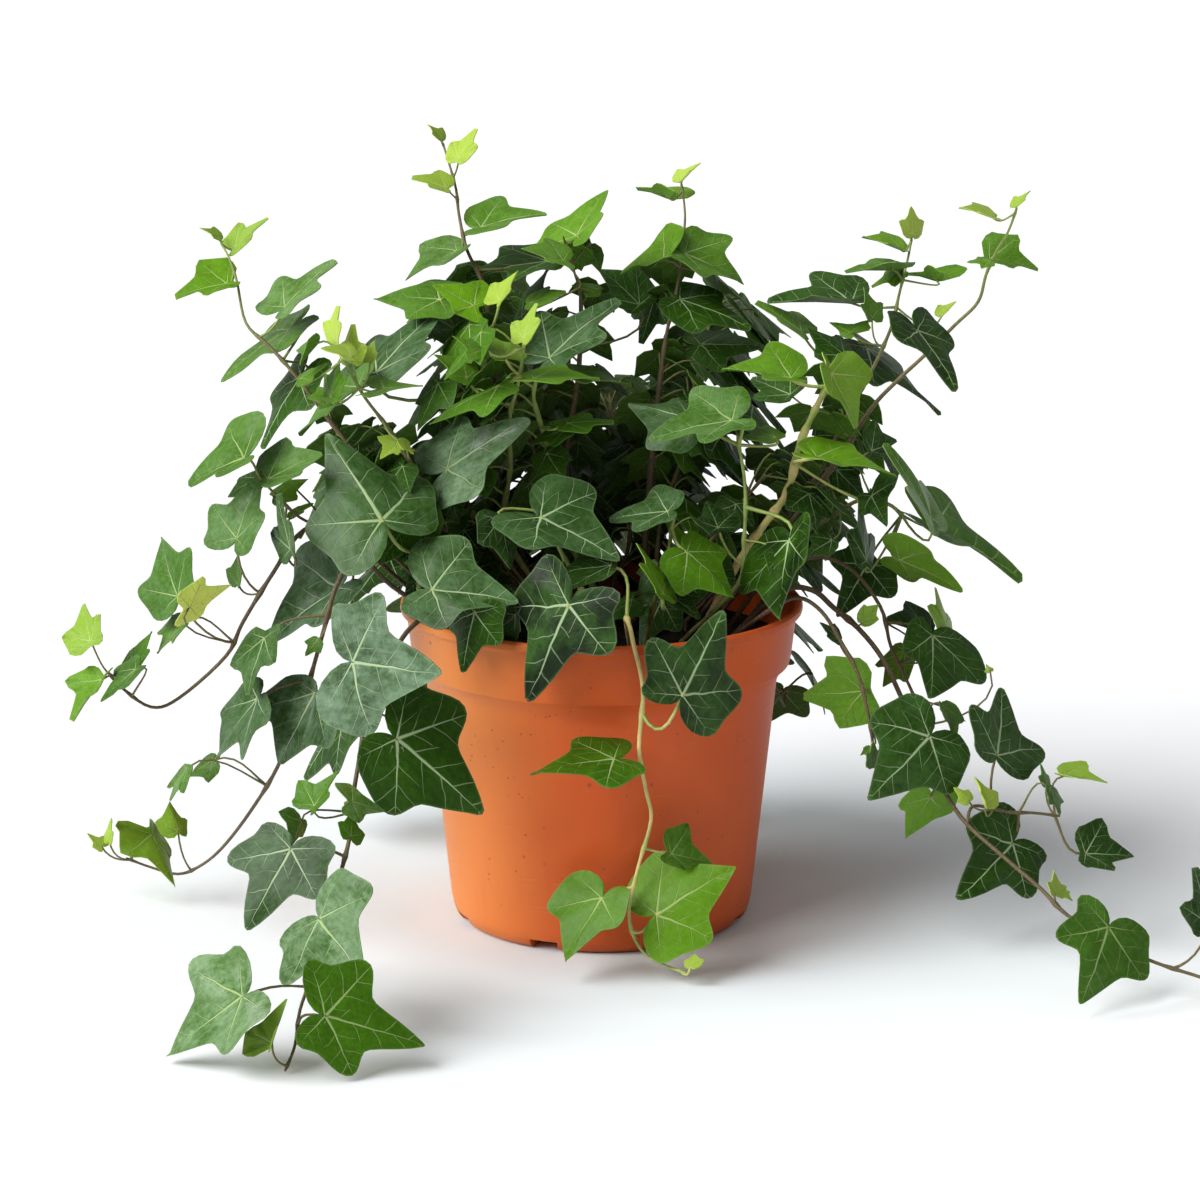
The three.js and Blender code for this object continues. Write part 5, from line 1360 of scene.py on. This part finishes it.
petioleDroops = {"stem_trail_front": 0.42, "": 0.12}
# tone: the random share of the painted shade; innerTone: the least painted shade of the inner leaves and
# its random spread
growSettings = {
    "young": 0.4, "youngPetiole": 0.08, "tone": 0.4, "innerTone": (0.2, 0.5), "paintedSheen": (0.85, 0.3),
    "vary": 0.16, "youngerBy": 0.4, "high": ((120, 175), (0, 0.12)), "old": 0.5,
}
kindCounts = {}


def byName(table, name):
    return next(value for start, value in table.items() if name.startswith(start))


# how much painted sheen a leaf gets
def paintedSheenOf(plan, one, draw):
    if one["row"] < 0 or plan["name"] not in leafPaintedSheens:
        return byName(paintedSheenRest, plan["name"]) * 2 * draw
    low, more = growSettings["paintedSheen"]
    return leafPaintedSheens[plan["name"]][one["row"]] * (low + more * draw)


def growTubes(plan):
    name, curve, grown = plan["name"], plan["curve"], plan["grown"]
    low, high, petioleAge = byName(stemAges, name)
    curves = [curve] + ([plan["sideCurve"]] if "sideCurve" in plan else [])
    spots = [closestOn(curves, one["spot"]) for one in grown]
    thick = [k * byName(stemWidths, name) for k in plan["thick"]]
    wides = (thick, tubeSettings["branch"])
    tubes = [(line, stemRadii(line, wide, spots)) for line, wide in zip(curves, wides)]
    pieces = [addTubes("stemTube", tubes, tubeSettings["stemSides"], low)]
    points, line = corners(pieces[0].data) / mm, np.array(curve)
    nearest = np.linalg.norm(points[:, None] - line[None], axis=2).argmin(axis=1)
    setAttribute(pieces[0].data, "stemAge", low + (high - low) * nearest / (len(line) - 1))
    for young in (False, True):
        tubes = []
        for one, spot in zip(grown, spots):
            if (one["age"] > growSettings["young"]) != young:
                continue
            line = petioleLine(spot, one["leaf"], byName(petioleDroops, name))
            wide = tubeSettings["petiole"] * (byName(petioleWidths, name) if one["row"] >= 0 else 1)
            if one["leaf"]["size"] <= tubeSettings["smallLeaf"]:
                wide = wide * tubeSettings["smallPetiole"]
            tubes.append((line, wide * np.interp(range(len(line)), *tubeSettings["taper"])))
        if tubes:
            age = petioleAge + growSettings["youngPetiole"] * young
            pieces.append(addTubes("petioleTube", tubes, tubeSettings["petioleSides"], age))
    return pieces


def growLeaf(plan, one, draw):
    name, leaf, row = plan["name"], one["leaf"], one["row"]
    if row < 0:
        kind, tone = "inner", growSettings["innerTone"][0] + growSettings["innerTone"][1] * draw()
    else:
        kind = next(kind for kind, shape in leafKinds.items() if leaf["size"] > shape["from"])
        tone = byName(leafShades, name) + growSettings["tone"] * draw()
        tone = tone + leafDark.get(name, {}).get(row, 0)
    kindCounts[kind] = kindCounts.get(kind, 0) + 1
    copy = layLeaf("ivyLeaf", leaf, kind, one["seed"])
    high = np.interp(leaf["tip"][2], *growSettings["high"]) if one["age"] < growSettings["old"] else 0
    vary = growSettings["vary"] * (draw() - growSettings["youngerBy"])
    age = one["age"] + vary + high + leafLifts.get(name, {}).get(row, 0)
    setAttribute(copy.data, "leafAge", min(1, max(0, age)))
    setAttribute(copy.data, "leafTone", tone)
    setAttribute(copy.data, "leafBloom", paintedSheenOf(plan, one, draw()))
    return copy


def growStem(plan):
    draw = draws(int(plan["thick"][0] * 1000) + len(plan["curve"]))
    pieces = growTubes(plan) + [growLeaf(plan, one, draw) for one in plan["grown"]]
    pickOnly(*pieces)
    bpy.ops.object.join()
    grown = bpy.context.active_object
    grown.name = grown.data.name = "leafy_" + plan["name"]
    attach(grown, "root")
    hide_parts(plan["name"])


for plan in plans:
    growStem(plan)
for shape in leafShapes.values():
    bpy.data.objects.remove(shape["piece"], do_unlink=True)
print("leafy stems grown; leaves of each shape:", kindCounts)


# a round piece: a disc drawn out along a profile of radius and height, ring by ring
def turnPiece(name, profile, sides):
    pickOnly()
    radius, height = profile[0]
    bpy.ops.mesh.primitive_circle_add(vertices=sides, radius=radius * mm, fill_type="NGON",
                                      location=(0, 0, height * mm))
    piece = bpy.context.active_object
    piece.name = name
    bpy.ops.object.mode_set(mode="EDIT")
    bpy.ops.mesh.select_mode(type="EDGE")
    bpy.ops.mesh.select_all(action="SELECT")
    bpy.ops.mesh.region_to_loop()
    for (fromRadius, fromHeight), (toRadius, toHeight) in zip(profile, profile[1:]):
        drawOut(bpy.ops.mesh.extrude_edges_move)
        ratio, rise = toRadius / fromRadius, toHeight - fromHeight
        if abs(ratio - 1) > 1e-6:
            bpy.ops.transform.resize(value=(ratio, ratio, 1))
        if abs(rise) > 1e-6:
            bpy.ops.transform.translate(value=(0, 0, rise * mm))
    bpy.ops.mesh.edge_face_add()
    closeEdit()
    bpy.ops.object.transform_apply(location=True, rotation=True, scale=True)
    return piece


potSettings = {
    "sides": 128,
    "profile": [
        (9, 0), (9, 4), (37.6, 4), (37.6, 0), (42.0, 0), (44.3, 0.7), (45.5, 2.0), (46.1, 4.0), (46.6, 6.4),
        (53.7, 74.6), (54.1, 76.4), (55.9, 79.2), (57.5, 80.5), (58.0, 82.4), (59.4, 94.6), (60.0, 95.7),
        (61.2, 96.4), (61.4, 97.2), (61.3, 98.3), (60.7, 98.95), (59.7, 99.0), (59.0, 98.2), (56.6, 82.0),
        (52.7, 77.0), (44.9, 8.5), (43.6, 5.6), (20, 5.6),
    ],
    # places round the axis: how many, the first one's share of a step, distance out and height
    "drains": (4, 0.25, 27, 5), "drain": {"vertices": 28, "radius": 3.5 * mm, "depth": 6 * mm},
    "notches": (8, 0.5, 42, 1.3), "notch": (14, 9, 4.2),
    "bevel": {"width": 0.3 * mm, "segments": 2, "limit_method": "ANGLE", "angle_limit": math.radians(38),
              "harden_normals": False},
    "smoothAngle": 32,
}


def placesRound(count, first, out, up):
    for turn in (2 * math.pi * (i + first) / count for i in range(count)):
        yield turn, (out * math.cos(turn) * mm, out * math.sin(turn) * mm, up * mm)


def cutOut(piece, cutter):
    bpy.ops.object.transform_apply(location=True, rotation=True, scale=True)
    applyModifier(piece, "BOOLEAN", {"operation": "DIFFERENCE", "solver": "EXACT", "object": cutter})
    bpy.data.objects.remove(cutter, do_unlink=True)


def makePot():
    s = potSettings
    pot = turnPiece("nursery_pot", s["profile"], s["sides"])
    for _, place in placesRound(*s["drains"]):
        pickOnly()
        bpy.ops.mesh.primitive_cylinder_add(location=place, **s["drain"])
        cutOut(pot, bpy.context.active_object)
    for turn, place in placesRound(*s["notches"]):
        pickOnly()
        bpy.ops.mesh.primitive_cube_add(size=1, location=place, rotation=(0, 0, turn))
        cutter = bpy.context.active_object
        cutter.scale = [k * mm for k in s["notch"]]
        cutOut(pot, cutter)
    applyModifier(pot, "BEVEL", s["bevel"])
    shadeSmooth(pot, s["smoothAngle"])
    giveFinishes(pot, [potFinish()])
    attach(pot, "root")
    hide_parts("pot")


makePot()
print("pot made")

soilSettings = {
    "sides": 84, "bottom": 70, "wall": [(51.3, 70), (52.4, 77.2), (55.4, 82), (55.9, 86)],
    "edge": 54.6, "ring": 3.6, "bump": 0.9, "grit": 0.7, "seed": 401, "smoothAngle": 60,
    "crumbs": 460, "crumb": (0.5, 1.7), "crumbsTo": 55, "crumbEdge": 55.2,
}


def soilRelief(x, y):
    waves = 0.9 * np.sin(x * 0.21 + 1.3) * np.cos(y * 0.17) + 0.7 * np.sin(0.31 * (x + y))
    return waves - 0.0008 * (x * x + y * y)


def soilHeight(x, y):
    small = 0.5 * np.sin(1.1 * x + 0.4 * y) * np.cos(0.9 * y - 0.3 * x)
    small = small + 0.4 * np.sin(0.63 * x - 1.7 * y + 2)
    return soilTop + soilRelief(x, y) + soilSettings["bump"] * small


def turnAbout(angle):
    c, s = math.cos(angle), math.sin(angle)
    return np.array([[c, s], [-s, c]])


def addCrumbs(draw):
    s = soilSettings
    low, high = s["crumb"]
    pickOnly()
    bpy.ops.mesh.primitive_ico_sphere_add(subdivisions=1, radius=1)
    crumb = bpy.context.active_object
    shape = corners(crumb.data)
    crumbs = []
    while len(crumbs) < s["crumbs"]:
        x, y = (2 * draw() - 1) * s["crumbsTo"], (2 * draw() - 1) * s["crumbsTo"]
        radius = low + (high - low) * draw() ** 3
        if math.hypot(x, y) + radius > s["crumbEdge"]:
            continue
        stretch = np.array([1 + draw(), 0.7 + 0.5 * draw(), 0.6 + 0.4 * draw()]) * radius
        spin, lean = np.eye(3), np.eye(3)
        spin[:2, :2] = turnAbout(draw() * math.pi)
        lean[1:, 1:] = turnAbout(draw() - 0.5)
        rough = np.array([[0.8 + 0.4 * draw()] for _ in shape])
        centre = np.array([x, y, float(soilHeight(x, y)) + 0.1 * radius])
        crumbs.append(addObject("crumb", crumb.data.copy()))
        setCorners(crumbs[-1].data, ((shape * rough * stretch) @ lean @ spin + centre) * mm)
    bpy.data.objects.remove(crumb, do_unlink=True)
    pickOnly(*crumbs)
    bpy.ops.object.join()
    bpy.context.active_object.name = "soil_crumbs"
    return bpy.context.active_object


def makeSoil():
    s = soilSettings
    rings = [(radius, soilTop) for radius in np.arange(s["edge"], 1.5, -s["ring"])]
    soil = turnPiece("soil_bed", [(20, s["bottom"]), *s["wall"], *rings], s["sides"])
    points = corners(soil.data) / mm
    top = points[:, 2] > soilTop - 0.6
    draw = draws(s["seed"])
    grit = np.array([draw() - 0.5 for _ in points])
    points[top, 2] = soilHeight(points[top, 0], points[top, 1]) + s["grit"] * grit[top]
    setCorners(soil.data, points * mm)
    shadeSmooth(soil, s["smoothAngle"])
    finish = soilFinish()
    for piece in (soil, addCrumbs(draw)):
        giveFinishes(piece, [finish])
        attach(piece, "root")
    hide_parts("soil")


makeSoil()
print("soil made")

studio = {
    "floorSize": 30, "floor": paint(245, 246, 247), "near": paint(236, 244, 247), "reach": (0.08, 0.24),
    "uneven": 0.1, "sky": {"Color": (0.985, 0.99, 1.0, 1), "Strength": 0.3},
    "key": {"strength": 4.5, "angle": 50, "turn": (52, 0, -66)},
}


def floorFinish():
    f = Finish("studioFloor", {"Specular IOR Level": 0.1, "Roughness": 0.9})
    place = f.objectPlace()
    x, y, _ = f.split(place)
    away = (x * x + y * y).math("SQRT") + (f.noise(place, 3.0) - 0.5) * studio["uneven"]
    # painted tint: the floor painted cooler near the pot, offsetting the orange light the pot throws on it
    colour = f.blend(f.fade(away, *studio["reach"]), studio["near"], studio["floor"])
    f.feed(f.shader, "Base Color", colour)
    return f.material


def setStudio():
    pickOnly()
    bpy.ops.mesh.primitive_plane_add(size=studio["floorSize"], location=(0, 0, 0))
    floor = bpy.context.active_object
    floor.name = "studio_floor"
    giveFinishes(floor, [floorFinish()])
    key = studio["key"]
    sun = bpy.data.lights.new("keyLight", "SUN")
    sun.energy, sun.angle = key["strength"], math.radians(key["angle"])
    addObject("keyLight", sun).rotation_euler = [math.radians(k) for k in key["turn"]]
    world = bpy.data.worlds.new("studioWorld")
    world.use_nodes = True
    for name, value in studio["sky"].items():
        world.node_tree.nodes["Background"].inputs[name].default_value = value
    bpy.context.scene.world = world
    bpy.context.scene.view_settings.view_transform = "Standard"


setStudio()
print("studio set")
